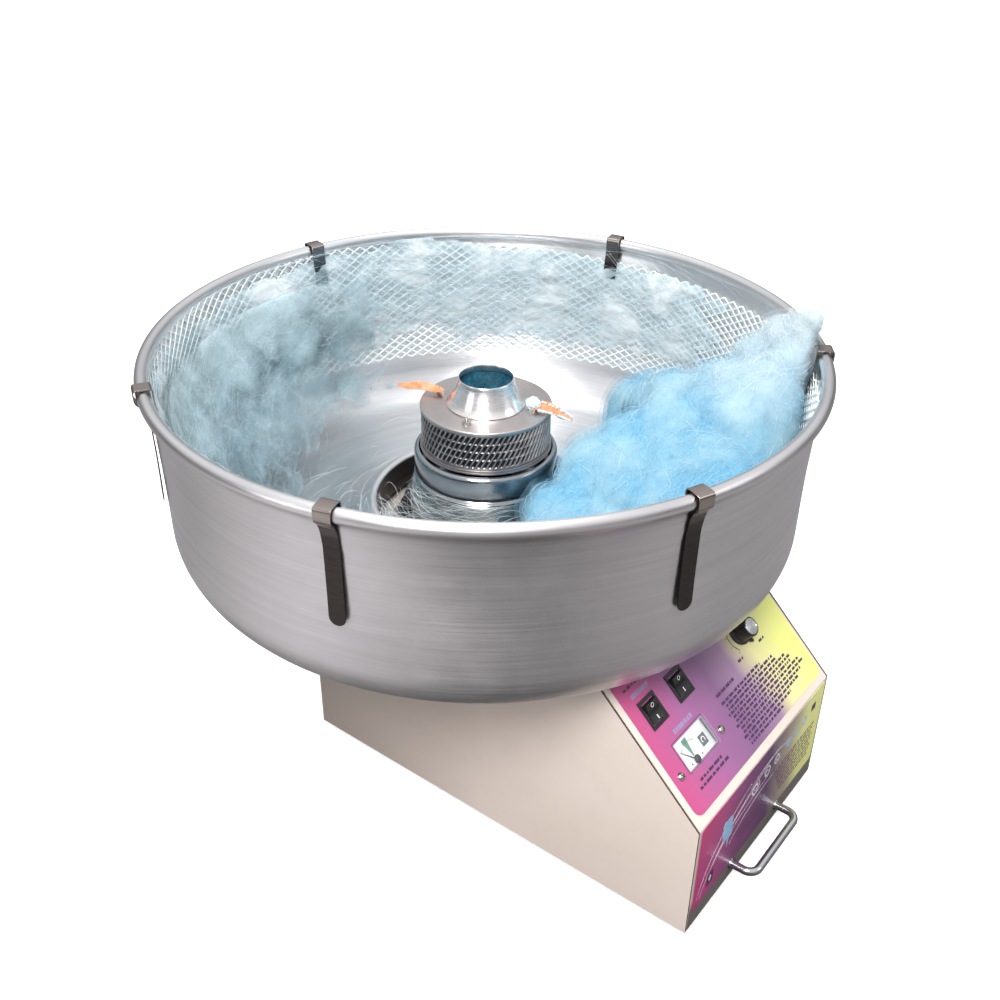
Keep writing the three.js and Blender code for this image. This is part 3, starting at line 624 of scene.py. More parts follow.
def bowl_metal():
    """Spun aluminium: painted lighter inside and darker on the outer skin as painted light and shade, and
    painted darkest down the hub's flange as painted shade.
    """
    n = Nodes("spun_aluminium")
    fine = n.noise(n.polar(2.0, 520), 1.0, 4.0, 0.7)
    streak = n.noise(n.polar(1.3, 120), 1.0, 4.0, 0.6)
    broad = n.noise(n.coords(), 7.0, 4.0, 0.6)
    texture = n.add("ShaderNodeTexCoord")
    place = n.vector("MULTIPLY", texture.outputs["Object"], (1, 1, 0))
    outward = n.vector("NORMALIZE", place)
    facing = n.vector("DOT_PRODUCT", outward, texture.outputs["Normal"], "Value")
    rise = n.split(texture.outputs["Normal"])[2]
    outside = n.spread(n.math("SUBTRACT", facing, rise), 0, 1, -0.35, 0.35)
    # painted light and shade: a lighter copy of the metal on the inner faces, a darker one on the outer skin
    inner = n.mix(n.spread(broad, 0, 1), (0.80, 0.80, 0.81), (0.90, 0.90, 0.91))
    outer = n.mix(n.spread(broad, 0, 1), (0.64, 0.605, 0.62), (0.74, 0.70, 0.715))
    base = n.mix(outside, inner, outer)
    base = n.mix(n.spread(streak, 0, 0.30), base, (0.42, 0.40, 0.41))
    reach = n.vector("LENGTH", place, None, "Value")
    # painted shade: near-black down the hub's flange, inside the hole
    flange = n.math("MULTIPLY", n.spread(reach, 1, 0, 0.1130, 0.1150), n.spread(rise, 1, 0, 0.2, 0.7))
    base = n.mix(flange, base, (0.085, 0.075, 0.072))
    base = n.mix(n.spread(fine, 0, 0.22), base, (0.40, 0.38, 0.39))
    return turned_finish(n, base, fine, broad, (-0.05, 0.07), (0.29, 0.38), 0.7, 0.10)


def wall_radius(height, inset=0.0):
    """Outer face of the bowl's wall at a height above its bottom, smoothed between its stations."""
    return np.interp(height, *zip(*WALL_STEPS)) - inset


def hub_rise(radius):
    """How far the floor rises above its lowest part, towards the hub."""
    return np.interp(radius, (101, 116, 126, 156, 175), (38, 36, 30, 9, 0))


def bowl_skin(inset):
    wall = [(wall_radius(h, inset), BOWL_BOTTOM + h) for h in WALL_HEIGHTS]
    return arc(CORNER_R, CORNER_Z, CORNER - inset, -90, 0, 18) + wall


def bowl_outline():
    """The bowl's section: under the hub, out along the floor, up the skin, round the roll and back inside."""
    at_lip = lambda pairs, dr=0.0, dz=0.0: [(HUB_R + r + dr, HUB_TOP + z + dz) for r, z in pairs]
    cone = [(8.5, -3.6), (14, -8.0), (30, -21.5), (44, -32.5)]
    under = at_lip([(0.4, -34), (1.9, -34), (2, -5.0), (2.6, -3.4), (4.2, -2.1), (6.2, -2.2)])
    under += at_lip(cone, 0, -1.2)
    floor_out = [(HUB_R + 52, BOWL_BOTTOM + 1.6), (HUB_R + 62, BOWL_BOTTOM), (215, BOWL_BOTTOM),
                 (245, BOWL_BOTTOM)]
    roll = arc(BOWL_R - ROLL, BOWL_TOP - ROLL, ROLL, -75, 240, 26)
    floor_in = [(245, FLOOR_Z), (215, FLOOR_Z), (HUB_R + 63, FLOOR_Z), (HUB_R + 53, BOWL_BOTTOM + 3.6)]
    over = at_lip(cone[::-1], 0.6, 0.9)
    over += at_lip([(6.6, -0.5), (5.2, 0), (3.2, -0.2), (1.4, -1.4), (0.2, -3.2), (0, -5.2)])
    return [*under, *floor_out, *bowl_skin(0.0), *roll, *reversed(bowl_skin(SHEET)), *floor_in, *over]


def bowl_wobble(radius, z, angle):
    """Hand-spun metal is never quite round: fractions of a millimetre of slow waver."""
    if radius < 200:
        return 0.0
    return 0.22 * math.sin(3 * angle + 0.02 * z) + 0.15 * math.sin(7 * angle + 1.3 + 0.05 * z)


def build_bowl():
    lathe_piece("floss_bowl", bowl_outline(), 288, bowl_metal(), "bowl", ["bowl"], 30,
                bowl_wobble)


def net_radius(z):
    return wall_radius(z - BOWL_BOTTOM, SHEET) - 1.0


def net_top(degrees):
    """Height of the netting's cut edge: it rides up to the rim on the left and sags on the right."""
    return np.interp((degrees + 60) % 360, (0, 78, 132, 270, 350, 360), (448, 449, 466, 466, 449, 448))


def netting_plastic():
    n = Nodes("netting_plastic")
    grain = n.noise(n.coords(), 160.0, 3.0, 0.6)
    n.set(Base_Color=n.mix(n.spread(grain, 0, 1), (0.80, 0.87, 0.88), (0.93, 0.95, 0.95)), Roughness=0.4)
    return n.material


def build_netting():
    """Extruded diamond netting: two layers of slanted strands, welded where they cross."""
    low = z_range("bowl_netting")[0]
    cells, rows = 137, 30
    parts = []
    for layer, lean in ((0.55, 1), (1.45, -1)):
        for i in range(cells):
            path = []
            for j in range(rows + 1):
                angle = TAU / cells * (i + lean * j / 2)
                top = net_top(math.degrees(angle)) + 1.2 * math.sin(5 * angle)
                z = low + (top - low) * j / rows
                r = net_radius(z) - layer - 0.7 * (1 + math.sin(9 * angle + 0.13 * z)) * 0.5
                path.append((angle, r, z))
            parts.append(net_strand(path, 0.72, 0.45))
    joined_piece("wall_netting", parts, netting_plastic(), "bowl", ["bowl_netting"], 50,
                 AT_AXIS)


def net_strand(path, half_width, half_depth):
    """A flat strand along a path of (angle, radius, height) on the wall."""
    points = []
    for k, (angle, r, z) in enumerate(path):
        before, after = path[max(k - 1, 0)], path[min(k + 1, len(path) - 1)]
        du, dv = (after[0] - before[0]) * r, after[2] - before[2]
        length = math.hypot(du, dv)
        u, v = -dv / length * half_width, du / length * half_width
        for su, sr in ((1, 1), (-1, 1), (-1, -1), (1, -1)):
            points.append(round_z(r + sr * half_depth, angle + su * u / r, z + su * v))
    last = 4 * (len(path) - 1)
    return points, [*tube_faces(len(path), 4), (3, 2, 1, 0), (last, last + 1, last + 2, last + 3)]


CLIP_WIDTH, CLIP_SHEET = 15.4, 1.1


def clip_path():
    """Middle line of a rim clip in (radius, height): tip of the long leg first, inner leg last."""
    at_rim = lambda *pairs: [(BOWL_R + dr, BOWL_TOP + dz) for dr, dz in pairs]
    outer = at_rim((-10.2, -116), (-10.4, -90), (-10.2, -60), (-9.6, -38), (-7.4, -26), (-5.4, -20),
                   (-3.0, -15.5), (0.4, -12.0), (1.6, -9), (1.7, -3))
    crest = arc(BOWL_R - 1.2, BOWL_TOP - 1.3, 2.9, 0, 90, 5)
    crest += arc(BOWL_R - 12.4, BOWL_TOP - 1.3, 2.9, 90, 180, 5)
    return outer + crest + at_rim((-15.4, -10), (-16.2, -20), (-18.4, -32), (-19.8, -45))


def clip_mesh(name):
    """A bent strip of spring steel whose long leg ends in a round tip."""
    tip = CLIP_WIDTH / 2
    path = [Vector(p) for p in clip_path()]
    first = path[0]
    tip_turns = (0, 18, 36, 54, 72, 90)
    rounded_tip = [first + Vector((0, tip * (1 - math.cos(math.radians(a))) - tip)) for a in tip_turns]
    offsets = [math.sin(math.radians(a)) for a in (4, 18, 36, 54, 72, 90)]
    shift = Vector((0, tip))
    path = [p + shift for p in rounded_tip] + [p for p in path[1:] if p.y > first.y + tip + 1]
    halves = [o * CLIP_WIDTH / 2 for o in offsets] + [CLIP_WIDTH / 2] * (len(path) - len(offsets))
    last = len(path) - 1
    points = []
    for k, p in enumerate(path):
        t = (path[min(k + 1, last)] - path[max(k - 1, 0)]).normalized()
        n = Vector((t.y, -t.x)) * CLIP_SHEET / 2
        for side in (1, -1):
            q = p + n * side
            points += [(q.x, half * side, q.y) for half in (-halves[k], halves[k])]
    faces = [face[:1] + face[:0:-1] for face in tube_faces(last + 1, 4)]
    return mesh_from(name, points, [*faces, (0, 1, 2, 3), tuple(range(4 * last + 3, 4 * last - 1, -1))])


def clip_steel():
    """Dark polished spring steel, painted lighter over the rim as a painted highlight."""
    n = Nodes("clip_spring_steel")
    marks = n.noise(n.coords((20, 20, 260)), 6.0, 4.0, 0.65)
    height = n.split(n.coords())[2]
    # painted highlight: lighter over the rim, on the clip's top
    top_painted_highlight = n.spread(height, 0, 1, (BOWL_TOP - 30) * MM, (BOWL_TOP - 8) * MM)
    dark = n.mix(n.spread(marks, 0, 1), (0.035, 0.028, 0.028), (0.070, 0.056, 0.054))
    n.set(Base_Color=n.mix(top_painted_highlight, dark, (0.34, 0.29, 0.27)), Metallic=1.0,
          Roughness=n.spread(marks, 0.14, 0.26))
    n.set(Normal=n.bump(marks, 0.08, 0.0003))
    return n.material


def build_clips():
    steel = clip_steel()
    for index, degrees in enumerate(CLIP_ANGLES, 1):
        turn = AT_AXIS @ Matrix.Rotation(math.radians(degrees), 4, "Z")
        name = f"rim_clip_{index}"
        clip = finish_piece(name, clip_mesh(name), steel, "bowl", [f"bowl_clip_{index}"], 30,
                            turn)
        bevel(clip, 0.3, 2, 40)


# ---------------------------------------------------------------- cabinet
def build_cabinet():
    cream = cabinet_paint()
    for node in ("left_side_panel", "right_side_panel", "front_panel", "control_panel", "rear_panel"):
        cad(node, cream, 0.35)
    # the deck's enamel is painted darker than the cream, as painted shade under the bowl
    cad("top_deck", painted("deck_enamel_painted_shade", (0.40, 0.345, 0.31), (0.30, 0.26, 0.235)), 0.35)
    cad("base_plate", painted("base_enamel", (0.22, 0.20, 0.19), (0.17, 0.155, 0.15)), 0.3)
    rubber = moulded("foot_rubber", (0.018, 0.018, 0.018), 0.8)
    for node in frame["nodes"]:
        if node.startswith(("foot_", "motor_mount_rubber")) or node == "bowl_seat_ring":
            cad(node, rubber, 0.6)
    cad("cord_gland", moulded("gland_nylon", (0.02, 0.02, 0.02), 0.45), 0.3)


def build_handle():
    """A bent rod with a small collar where each leg meets the front."""
    chrome = plain_metal("handle_chrome", (0.56, 0.57, 0.58), 0.06, strength=0.02, mottle=0.06)
    low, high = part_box("front_handle")
    radius = (high.z - low.z) / MM / 2
    half = high.x / MM - radius
    z = (high.z + low.z) / MM / 2
    front = FRONT_Y / MM
    grip = low.y / MM + radius
    bend = 11.0
    path = [(-half, front - 0.4), (-half, front - 5), (-half, grip + bend)]
    path += arc(bend - half, grip + bend, bend, 180, 270, 10)[1:]
    path += arc(half - bend, grip + bend, bend, 270, 360, 10)
    path += [(half, front - 5), (half, front - 0.4)]
    parts = [sweep([(x, y, z) for x, y in path], radius, 28)]
    for x in (-half, half):
        collar = [(x, front - 0.3, z), (x, front - 1.2, z), (x, front - 1.8, z)]
        parts.append(sweep(collar, [radius + 1.8, radius + 1.6, radius + 0.8], 28))
    joined_piece("carry_handle", parts, chrome, "cabinet", ["front_handle"])


# ---------------------------------------------------------------- printed overlays
def printed(name, parts, ink, place):
    """Print, or a small fixed mark, on the cabinet."""
    joined_piece(name, parts, ink, "cabinet", (), 35, place)


def dashes(rng, rows, height, gap=1.5):
    """Rows of short bars that stand in for lines of print: (left, right, y) per row."""
    parts = []
    for left, right, y in rows:
        x = left
        while x < right:
            length = min(rng.uniform(2.2, 9.5), right - x)
            if length > 1.0:
                parts.append(slab(word_outline(rng, x, y, length, height)))
            x += length + gap
    return parts


def word_outline(rng, x, y, length, height):
    """A bar with a stepped top, like a printed word seen from afar."""
    top = []
    at = x + length
    while at > x + 0.9:
        rise = height * rng.choice([0.5, 0.5, 0.5, 0.36, 0.62])
        step = min(rng.uniform(0.8, 1.6), at - x)
        top += [(at, y + rise), (at - step, y + rise)]
        at -= step
    return [(x, y - height / 2), (x + length, y - height / 2), *top]


def tick(cx, cy, inner, outer, degrees, width):
    a = math.radians(degrees)
    d, n = Vector((math.cos(a), math.sin(a))), Vector((-math.sin(a), math.cos(a)))
    c = Vector((cx, cy))
    edge = n * width / 2
    corners = (c + d * inner - edge, c + d * outer - edge, c + d * outer + edge, c + d * inner + edge)
    return slab([tuple(p) for p in corners])


def swoosh(start, middle, end, width, steps=24):
    """A tapered printed stroke along a quadratic curve."""
    a, b = [], []
    p0, p1, p2 = Vector(start), Vector(middle), Vector(end)
    for i in range(steps + 1):
        t = i / steps
        p = p0 * (1 - t) ** 2 + p1 * 2 * t * (1 - t) + p2 * t * t
        d = ((p1 - p0) * (1 - t) + (p2 - p1) * t).normalized()
        n = Vector((-d.y, d.x)) * (width * (0.15 + 0.85 * math.sin(math.pi * t)) / 2)
        a.append(tuple(p - n))
        b.append(tuple(p + n))
    return strip_between(a, b)


def curl(cx, cy, radius, turns, width, start, steps=40):
    """A printed spiral stroke."""
    a, b = [], []
    for i in range(steps + 1):
        t = i / steps
        angle = math.radians(start) + t * turns * TAU
        r = radius * (0.25 + 0.75 * t)
        w = width * (0.3 + 0.7 * math.sin(math.pi * t))
        for line, offset in ((a, w / 2), (b, -w / 2)):
            line.append((cx + (r + offset) * math.cos(angle), cy + (r + offset) * math.sin(angle)))
    return strip_between(a, b)


DIAL_START, DIAL_END, DIAL_STEP = -136, -404, -27  # degrees round the knob


def build_control_print():
    """Printed control panel: bars in place of print, and the knob's dial."""
    stops = [
        (0.0, (0.55, 0.060, 0.20)), (0.17, (0.52, 0.090, 0.25)), (0.36, (0.34, 0.12, 0.29)),
        (0.52, (0.22, 0.11, 0.23)), (0.68, (0.32, 0.20, 0.32)), (0.80, (0.74, 0.69, 0.35)),
        (1.0, (0.80, 0.82, 0.25)),
    ]
    film = rainbow_print("control_film", PANEL, stops, 0.12, 0.27)
    sheet = slab(rounded(2.5, 83, 257, 148, 9, 8), FILM_LOW, FILM_TOP)
    joined_piece("control_overlay", [sheet], film, "cabinet", ["control_decal"], 35, PANEL)
    place = lifted(PANEL, 0, 0, FILM_TOP)
    rng = np.random.default_rng(7)
    ends = [58, 80, 84, 97, 104, 100, 112, 117, 108, 96, 74, 52]
    rows = [(-20 + (0 if i % 3 == 0 else 4), end, 64.0 - 4.3 * i) for i, end in enumerate(ends)]
    rows += [(-98, -58, 31.5), (-104, -50, 26.0), (-116, -84, 139.5)]
    parts = dashes(rng, rows, 2.6)
    parts += dashes(rng, [(-20, 14, 73.0)], 3.0, 1.0)
    parts += dashes(rng, [(33, 43, 80.5), (76, 86, 79.5)], 2.6, 1.0)
    parts.append(ring_stroke(*KNOB_XY, 19.5, 1.0, DIAL_START, DIAL_END))
    parts += [tick(*KNOB_XY, 21.0, 23.6, angle, 0.5) for angle in range(DIAL_START, DIAL_END - 1, DIAL_STEP)]
    printed("overlay_print", parts, print_ink("overlay_ink", (0.06, 0.018, 0.075)), place)
    labels = dashes(rng, [(-112, -84, 130.5), (-65, -37, 130.5), (-92, -60, 80.0)], 4.4, 0.8)
    printed("overlay_labels", labels, print_ink("overlay_grey_ink", (0.30, 0.22, 0.40)), place)


def build_front_print():
    """Printed front: the overlay runs up to the fold, with swirls, a puff and bars in place of print."""
    low_z = (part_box("front_decal")[0].z - CABINET_LOW) / MM
    high_z = (PANEL_ORIGIN.z - CABINET_LOW) / MM - 1.2
    stops = [
        (0.0, (0.62, 0.065, 0.22)), (0.16, (0.50, 0.085, 0.26)), (0.36, (0.24, 0.075, 0.20)),
        (0.56, (0.13, 0.06, 0.14)), (0.72, (0.46, 0.38, 0.30)), (0.84, (0.92, 0.90, 0.38)),
        (1.0, (0.95, 0.97, 0.32)),
    ]
    film = rainbow_print("front_film", FRONT, stops, -0.25, 0.27, high_z * MM)
    sheet = slab(rounded(0.5, (high_z + low_z) / 2, 259, high_z - low_z, 5, 6), FILM_LOW, FILM_TOP)
    joined_piece("front_overlay", [sheet], film, "cabinet", ["front_decal"], 35, FRONT)
    place = lifted(FRONT, 0, 0, FILM_TOP)
    swirls = [
        swoosh((-122, 34), (-108, 86), (-30, 112), 1.6), swoosh((-116, 30), (-96, 82), (-12, 100), 1.1),
        swoosh((-108, 46), (-84, 84), (20, 92), 0.9), swoosh((-96, 62), (-60, 98), (34, 116), 1.3),
        swoosh((-64, 58), (-30, 86), (48, 84), 1.0), swoosh((-30, 104), (10, 120), (56, 106), 1.4),
        curl(-18, 96, 9, 1.6, 2.4, 200), curl(6, 99, 8, 1.4, 2.2, 20), curl(28, 101, 7, 1.5, 2.0, 160),
    ]
    printed("front_swirls", swirls, print_ink("swirl_ink", (0.78, 0.70, 0.80)), place)
    puff = []
    for x, y, r in ((-76, 88, 7.5), (-70, 94, 7), (-69, 84, 7.5), (-74, 79, 6.5), (-66, 76, 5), (-78, 96, 5)):
        puff.append(slab(disc(x, y, r, 24), 0, 0.05 + 0.02 * len(puff)))
    puff.append(slab([(-72, 76), (-69, 58), (-66, 76)], 0, 0.07))
    puff += [curl(52, 104, 6.5, 1.4, 3.0, 40), curl(70, 105, 6, 1.4, 2.8, 220),
             curl(88, 106, 6, 1.3, 2.6, 80)]
    printed("front_puff", puff, print_ink("puff_ink", (0.33, 0.55, 0.80)), place)
    rng = np.random.default_rng(11)
    rows = [(24 + 3 * i, 118 - 2 * (i % 3), 84 - 5.2 * i) for i in range(9)]
    rows += [(-58, 12, 62), (-50, 20, 55), (-40, 16, 48)]
    marks = dashes(rng, rows, 2.4)
    marks += [slab(rounded(-98, 43, 12, 17, 1.5, 3)), slab(rounded(108, 112, 10, 9, 1.5, 3))]
    printed("front_marks", marks, print_ink("front_ink", (0.09, 0.03, 0.09)), place)
    diamond = [slab([(-101, 43), (-98, 38), (-95, 43), (-98, 48)], INK, 0.09)]
    printed("front_mark_diamond", diamond, print_ink("mark_ink", (0.75, 0.72, 0.70)), place)


# ---------------------------------------------------------------- controls
ROCKER_HALF, ROCKER_WIDTH, ROCKER_LOW = 9.7, 17.7, -2.0
ROCKER_TILT = 10  # degrees at rest


def build_switches():
    gloss = moulded("switch_gloss", (0.012, 0.012, 0.013), 0.16, 0.2)
    mark = print_ink("switch_mark", (0.85, 0.85, 0.83))
    for name, (x, y) in SWITCHES.items():
        housing = cad(f"{name}_switch_housing", gloss, 0.35, 2)
        housing.data.shade_smooth()
        housing.data.set_sharp_from_angle(angle=math.radians(25))
        tilt = Matrix.Rotation(math.radians(ROCKER_TILT), 4, "X")
        place = lifted(PANEL, x, y, 0) @ lifted(Matrix(), 0, 0, 0.6) @ tilt
        body = f"{name}_rocker"
        cap = finish_piece(f"{name}_rocker_cap", rocker_mesh(body), gloss, body,
                           [f"{name}_switch_rocker"], 35, place)
        bevel(cap, 0.4, 3)
        symbols = [swing(slab(rounded(0, -6.2, 1.1, 4.2, 0.4, 2), 0, 0.08)),
                   swing(ring_stroke(0, 5.8, 1.9, 0.55, steps=24, high=0.08))]
        joined_piece(f"{name}_rocker_marks", symbols, mark, body, (), 35, place)


def rocker_face(y):
    """Height of the rocker's dished face above its pivot."""
    return 2.3 + 1.7 * (abs(y) / ROCKER_HALF) ** 1.6


def swing(part):
    """Lays a flat mark on the rocker's dished face."""
    points, faces = part
    return [(x, y, z + rocker_face(y) + 0.02) for x, y, z in points], faces


def rocker_mesh(name):
    steps = 20
    ys = [-ROCKER_HALF + 2 * ROCKER_HALF * i / steps for i in range(steps + 1)]
    outline = [(-ROCKER_HALF, ROCKER_LOW), (ROCKER_HALF, ROCKER_LOW)]
    outline += [(y, rocker_face(y)) for y in reversed(ys)]
    points, faces = prism(*([(x, y, z) for y, z in outline] for x in (-ROCKER_WIDTH / 2, ROCKER_WIDTH / 2)))
    turned = [face[::-1] if len(face) > 4 else face[:1] + face[:0:-1] for face in faces]
    return mesh_from(name, points, turned)


def clear_plastic():
    n = Nodes("meter_window")
    n.set(Base_Color=(0.93, 0.96, 0.97, 1), Roughness=0.06)
    scuff = n.noise(n.coords(), 120.0, 4.0, 0.6)
    clear = n.add("ShaderNodeBsdfTransparent")
    cover = n.spread(scuff, 0.035, 0.075)
    mix = n.add("ShaderNodeMixShader", {0: cover, 1: clear, 2: n.bsdf})
    n.put(n.output.inputs["Surface"], mix)
    return n.material


def dial_card():
    """White card, in shade along its right side."""
    n = Nodes("dial_card")
    tone = n.noise(n.coords(), 60.0, 4.0, 0.6)
    shade = n.spread(n.split(n.coords())[0], 0.0, 1.0, 0.012, 0.026)
    base = n.mix(n.spread(tone, 0, 1), (0.80, 0.84, 0.83), (0.88, 0.90, 0.89))
    n.set(Base_Color=n.mix(n.math("MULTIPLY", shade, 0.75), base, (0.16, 0.15, 0.18)))
    n.set(Roughness=0.45)
    return n.material


DIAL_TOP = 0.62
SCALE_START, SCALE_SWEEP, SCALE_TICKS = 56, 75, 20


def build_meter():
    place = lifted(PANEL, *METER_XY, 0.3)
    over = lifted(place, 0, 0, DIAL_TOP)
    width, height = METER_SIZE
    case = cad("meter_case", clear_plastic(), 0.5, 3)
    case.data.shade_smooth()
    rim = frame_outline(width + 0.6, height + 0.6, 1.8, width - 1.2, height - 1.2, 0.9)
    printed("meter_rim", [rim], moulded("meter_rim", (0.10, 0.05, 0.12), 0.3), place)
    card = slab(rounded(0, 0, width - 4, height - 4, 0.8, 3), 0.02, DIAL_TOP)
    joined_piece("meter_dial", [card], dial_card(), "cabinet", ["meter_scale"], 35, place)
    marks = [tick(*NEEDLE_PIVOT, 18.0, 20.2 if k % 4 else 22.0, SCALE_START + SCALE_SWEEP * k / SCALE_TICKS,
                  0.28)
             for k in range(SCALE_TICKS + 1)]
    marks.append(ring_stroke(*NEEDLE_PIVOT, 17.8, 0.3, SCALE_START, SCALE_START + SCALE_SWEEP))
    marks.append(slab(rounded(11.0, -2.5, 10.4, 11.2, 0.8, 2)))
    marks.append(slab([(22.5, -13.5), (24.6, -13.5), (24.6, 13.5), (20.8, 13.5)], 0, 0.05))
    marks += [slab(disc(x, -11.0, 1.0, 12), 0, 0.12) for x in (-18.0, 0.5)]
    printed("dial_marks", marks, print_ink("dial_ink", (0.05, 0.06, 0.07)), over)
    hook = [ring_stroke(11.0, -2.5, 2.5, 1.0, -50, 230, 20, INK, 0.09)]
    printed("dial_square", hook, print_ink("dial_white", (0.8, 0.8, 0.78)), over)
    wedge = arc(*NEEDLE_PIVOT, 22.5, 82, 103, 8) + arc(*NEEDLE_PIVOT, 4.0, 82, 103, 4)[::-1]
    printed("dial_wedge", [slab(wedge, 0, 0.05)], print_ink("dial_green", (0.045, 0.20, 0.12)), over)
    cover = lathe_mesh("pivot_cover", [(0.02, 0), (4.2, 0), (4.2, 0.6), (3.4, 1.1), (0.02, 1.1)], 28)
    finish_piece("pivot_cover", cover, moulded("pivot_black", (0.02, 0.02, 0.025), 0.35), "cabinet",
                 (), 35, lifted(over, *NEEDLE_PIVOT, 1.35))
    cad("meter_needle", moulded("needle_black", (0.015, 0.015, 0.015), 0.4))


def frame_outline(width, height, radius, inner_width, inner_height, inner_radius, low=0.4, high=0.75):
    """A flat frame with rounded corners."""
    outer = rounded(0, 0, width, height, radius)
    inner = rounded(0, 0, inner_width, inner_height, inner_radius)
    rims = ((outer, low), (outer, high), (inner, high), (inner, low))
    points = [(x, y, z) for line, z in rims for x, y in line]
    count = len(outer)
    faces = []
    for ring in range(4):
        a, b = ring * count, (ring + 1) % 4 * count
        for i in range(count):
            k = (i + 1) % count
            faces.append((a + i, a + k, b + k, b + i))
    return points, faces


def build_panel_screws():
    steel = plain_metal("screw_nickel", (0.66, 0.62, 0.58), 0.22, strength=0.12)
    for side, x, y, turn in (("left", -115, 47.5, 35), ("right", -39, 48.5, -20)):
        place = lifted(PANEL, x, y, FILM_TOP)
        outline = [(0.02, 0), (4.3, 0)] + arc(0, -1.4, 4.6, 17, 84, 9) + [(0.02, 3.15)]
        head = lathe_mesh(f"screw_{side}", outline, 40)
        finish_piece(f"screw_{side}", head, steel, "cabinet", [f"panel_screw_{side}"], 30,
                     place)
        cross = [slab(rounded(0, 0, 4.6, 0.8, 0.2, 2), 2.6, 3.2),
                 slab(rounded(0, 0, 0.8, 4.6, 0.2, 2), 2.6, 3.19)]
        printed(f"screw_cross_{side}", cross, moulded(f"screw_slot_{side}", (0.03, 0.025, 0.02), 0.6),
                place @ Matrix.Rotation(math.radians(turn), 4, "Z"))


KNOB_RINGS = ((14.0, 0.3), (14.0, 1.9), (13.4, 2.6), (11.8, 3.0), (10.9, 4.2), (10.6, 6.0), (10.2, 16.4),
              (9.8, 17.9), (9.3, 18.3), (8.6, 18.3), (8.6, 17.0))  # radius, height
KNOB_POINTS_AT = -62  # degrees


def knob_radius(r, z, angle):
    """Fluted round the grip, with a pointed nose on the skirt."""
    flute = 0.45 * max(0.0, math.cos(24 * angle)) if 5 < z < 17 else 0.0
    nose = 6.2 * math.exp(-(min(angle, TAU - angle) / 0.17) ** 2) if r > 11.5 and z < 3.1 else 0.0
    return r - flute + nose


def build_knob():
    place = Matrix.Translation(KNOB_AT) @ PANEL.to_3x3().to_4x4()
    pointer = place @ Matrix.Rotation(math.radians(KNOB_POINTS_AT), 4, "Z")
    steps, rows = 240, len(KNOB_RINGS)
    angles = [TAU * i / steps for i in range(steps)]
    points = [round_z(knob_radius(r, z, a), a, z) for a in angles for r, z in KNOB_RINGS]
    faces = []
    for i in range(steps):
        a, b = i * rows, (i + 1) % steps * rows
        faces += [(a + j, b + j, b + j + 1, a + j + 1) for j in range(rows - 1)]
    faces.append(tuple(i * rows for i in reversed(range(steps))))
    faces.append(tuple(i * rows + rows - 1 for i in range(steps)))
    black = moulded("knob_black", (0.014, 0.014, 0.015), 0.28, 0.25)
    finish_piece("control_knob", mesh_from("control_knob", points, faces), black, "knob",
                 ["heat_knob"], 32, pointer)
    line = [slab(rounded(16.0, 0, 6.4, 0.9, 0.3, 2), 2.0, 2.75)]
    joined_piece("knob_line", line, print_ink("knob_white", (0.85, 0.85, 0.83)), "knob", (),
                 35, pointer)
    silver = spun_metal("knob_cap_spun", (0.74, 0.74, 0.74), 0.22, lines=0.35, anisotropy=0.8, around=0.5,
                        pitch=4000)
    outline = [(0.02, 16.9), (8.5, 16.9), (8.5, 18.2), (8.1, 18.7), (7.2, 18.75), (6.9, 18.45), (0.02, 18.55)]
    finish_piece("knob_cap", lathe_mesh("knob_cap", outline, 64), silver, "knob",
                 ["heat_knob_cap"], 30, place)


# ---------------------------------------------------------------- spinning head
FUNNEL_SECTION = (
    # radius, height above the funnel's foot: up the outside, over the mouth and down the inside
    (35.6, 0), (39.3, 0), (39.6, 0.6), (39.0, 1.3), (37.4, 2.6), (35.0, 7.0), (32.0, 13.6), (29.6, 19.2),
    (28.4, 22.4), (27.8, 25.0), (27.8, "mouth", -0.7), (27.4, "mouth", 0), (26.7, "mouth", 0),
    (26.4, "mouth", -0.7), (26.4, "mouth", -3.4), (27.2, 21.8), (28.4, 18.6), (30.8, 13.0), (33.8, 6.4),
    (35.6, 2.8),
)
ROTOR_LIP = z_range("spinner_base")[0] + 22
ROTOR_RIM = (
    (66.1, 0), (66.6, 0.5), (66.5, 1.7), (65.7, 2.2), (65.7, 2.8), (66.3, 3.3), (66.2, 4.4), (65.8, 4.7),
    (60, 4.7), (58, 2.5),
)
SHAFT_HOLE = 6.4


def build_head():
    steel = spun_metal("head_spun_steel", (0.84, 0.80, 0.79), 0.22, lines=0.12, anisotropy=0.8, mottle=0.06,
                       around=0.7, pitch=1500, grooves=0.03)
    satin = spun_metal("head_satin_steel", (0.52, 0.48, 0.47), 0.32, lines=0.3, anisotropy=0.4, mottle=0.16,
                       around=1.2, pitch=900)
    dark = spun_metal("rotor_steel", (0.36, 0.33, 0.33), 0.3, lines=0.4, anisotropy=0.6)
    top = HEAD_TOP
    plate = [(34, top - 2), (63.2, top - 2), (63.8, top - 3.7), (65.4, top - 3.7), (65.9, top - 2.6),
             (66.0, top - 1.4)]
    plate += arc(64.6, top - 1.4, 1.4, 10, 90, 5) + [(58, top), (46, top + 0.1), (34, top)]
    lathe_piece("head_plate", plate, 160, satin, "spinner", ["head_top_plate"], 30)
    cone = [(r, FUNNEL_HIGH + rest[1] if rest[0] == "mouth" else FUNNEL_LOW + rest[0])
            for r, *rest in FUNNEL_SECTION]
    lathe_piece("sugar_funnel", cone, 160, steel, "spinner", ["funnel"], 28)
    build_band()
    rotor = [(SHAFT_HOLE, ROTOR_LIP - 22), (14, ROTOR_LIP - 22), (14, ROTOR_LIP)]
    rotor += [(r, ROTOR_LIP + z) for r, z in ROTOR_RIM] + [(SHAFT_HOLE, ROTOR_LIP + 2.5)]
    lathe_piece("head_rotor", rotor, 128, dark, "spinner", ["spinner_base"], 30)
    build_sugar()


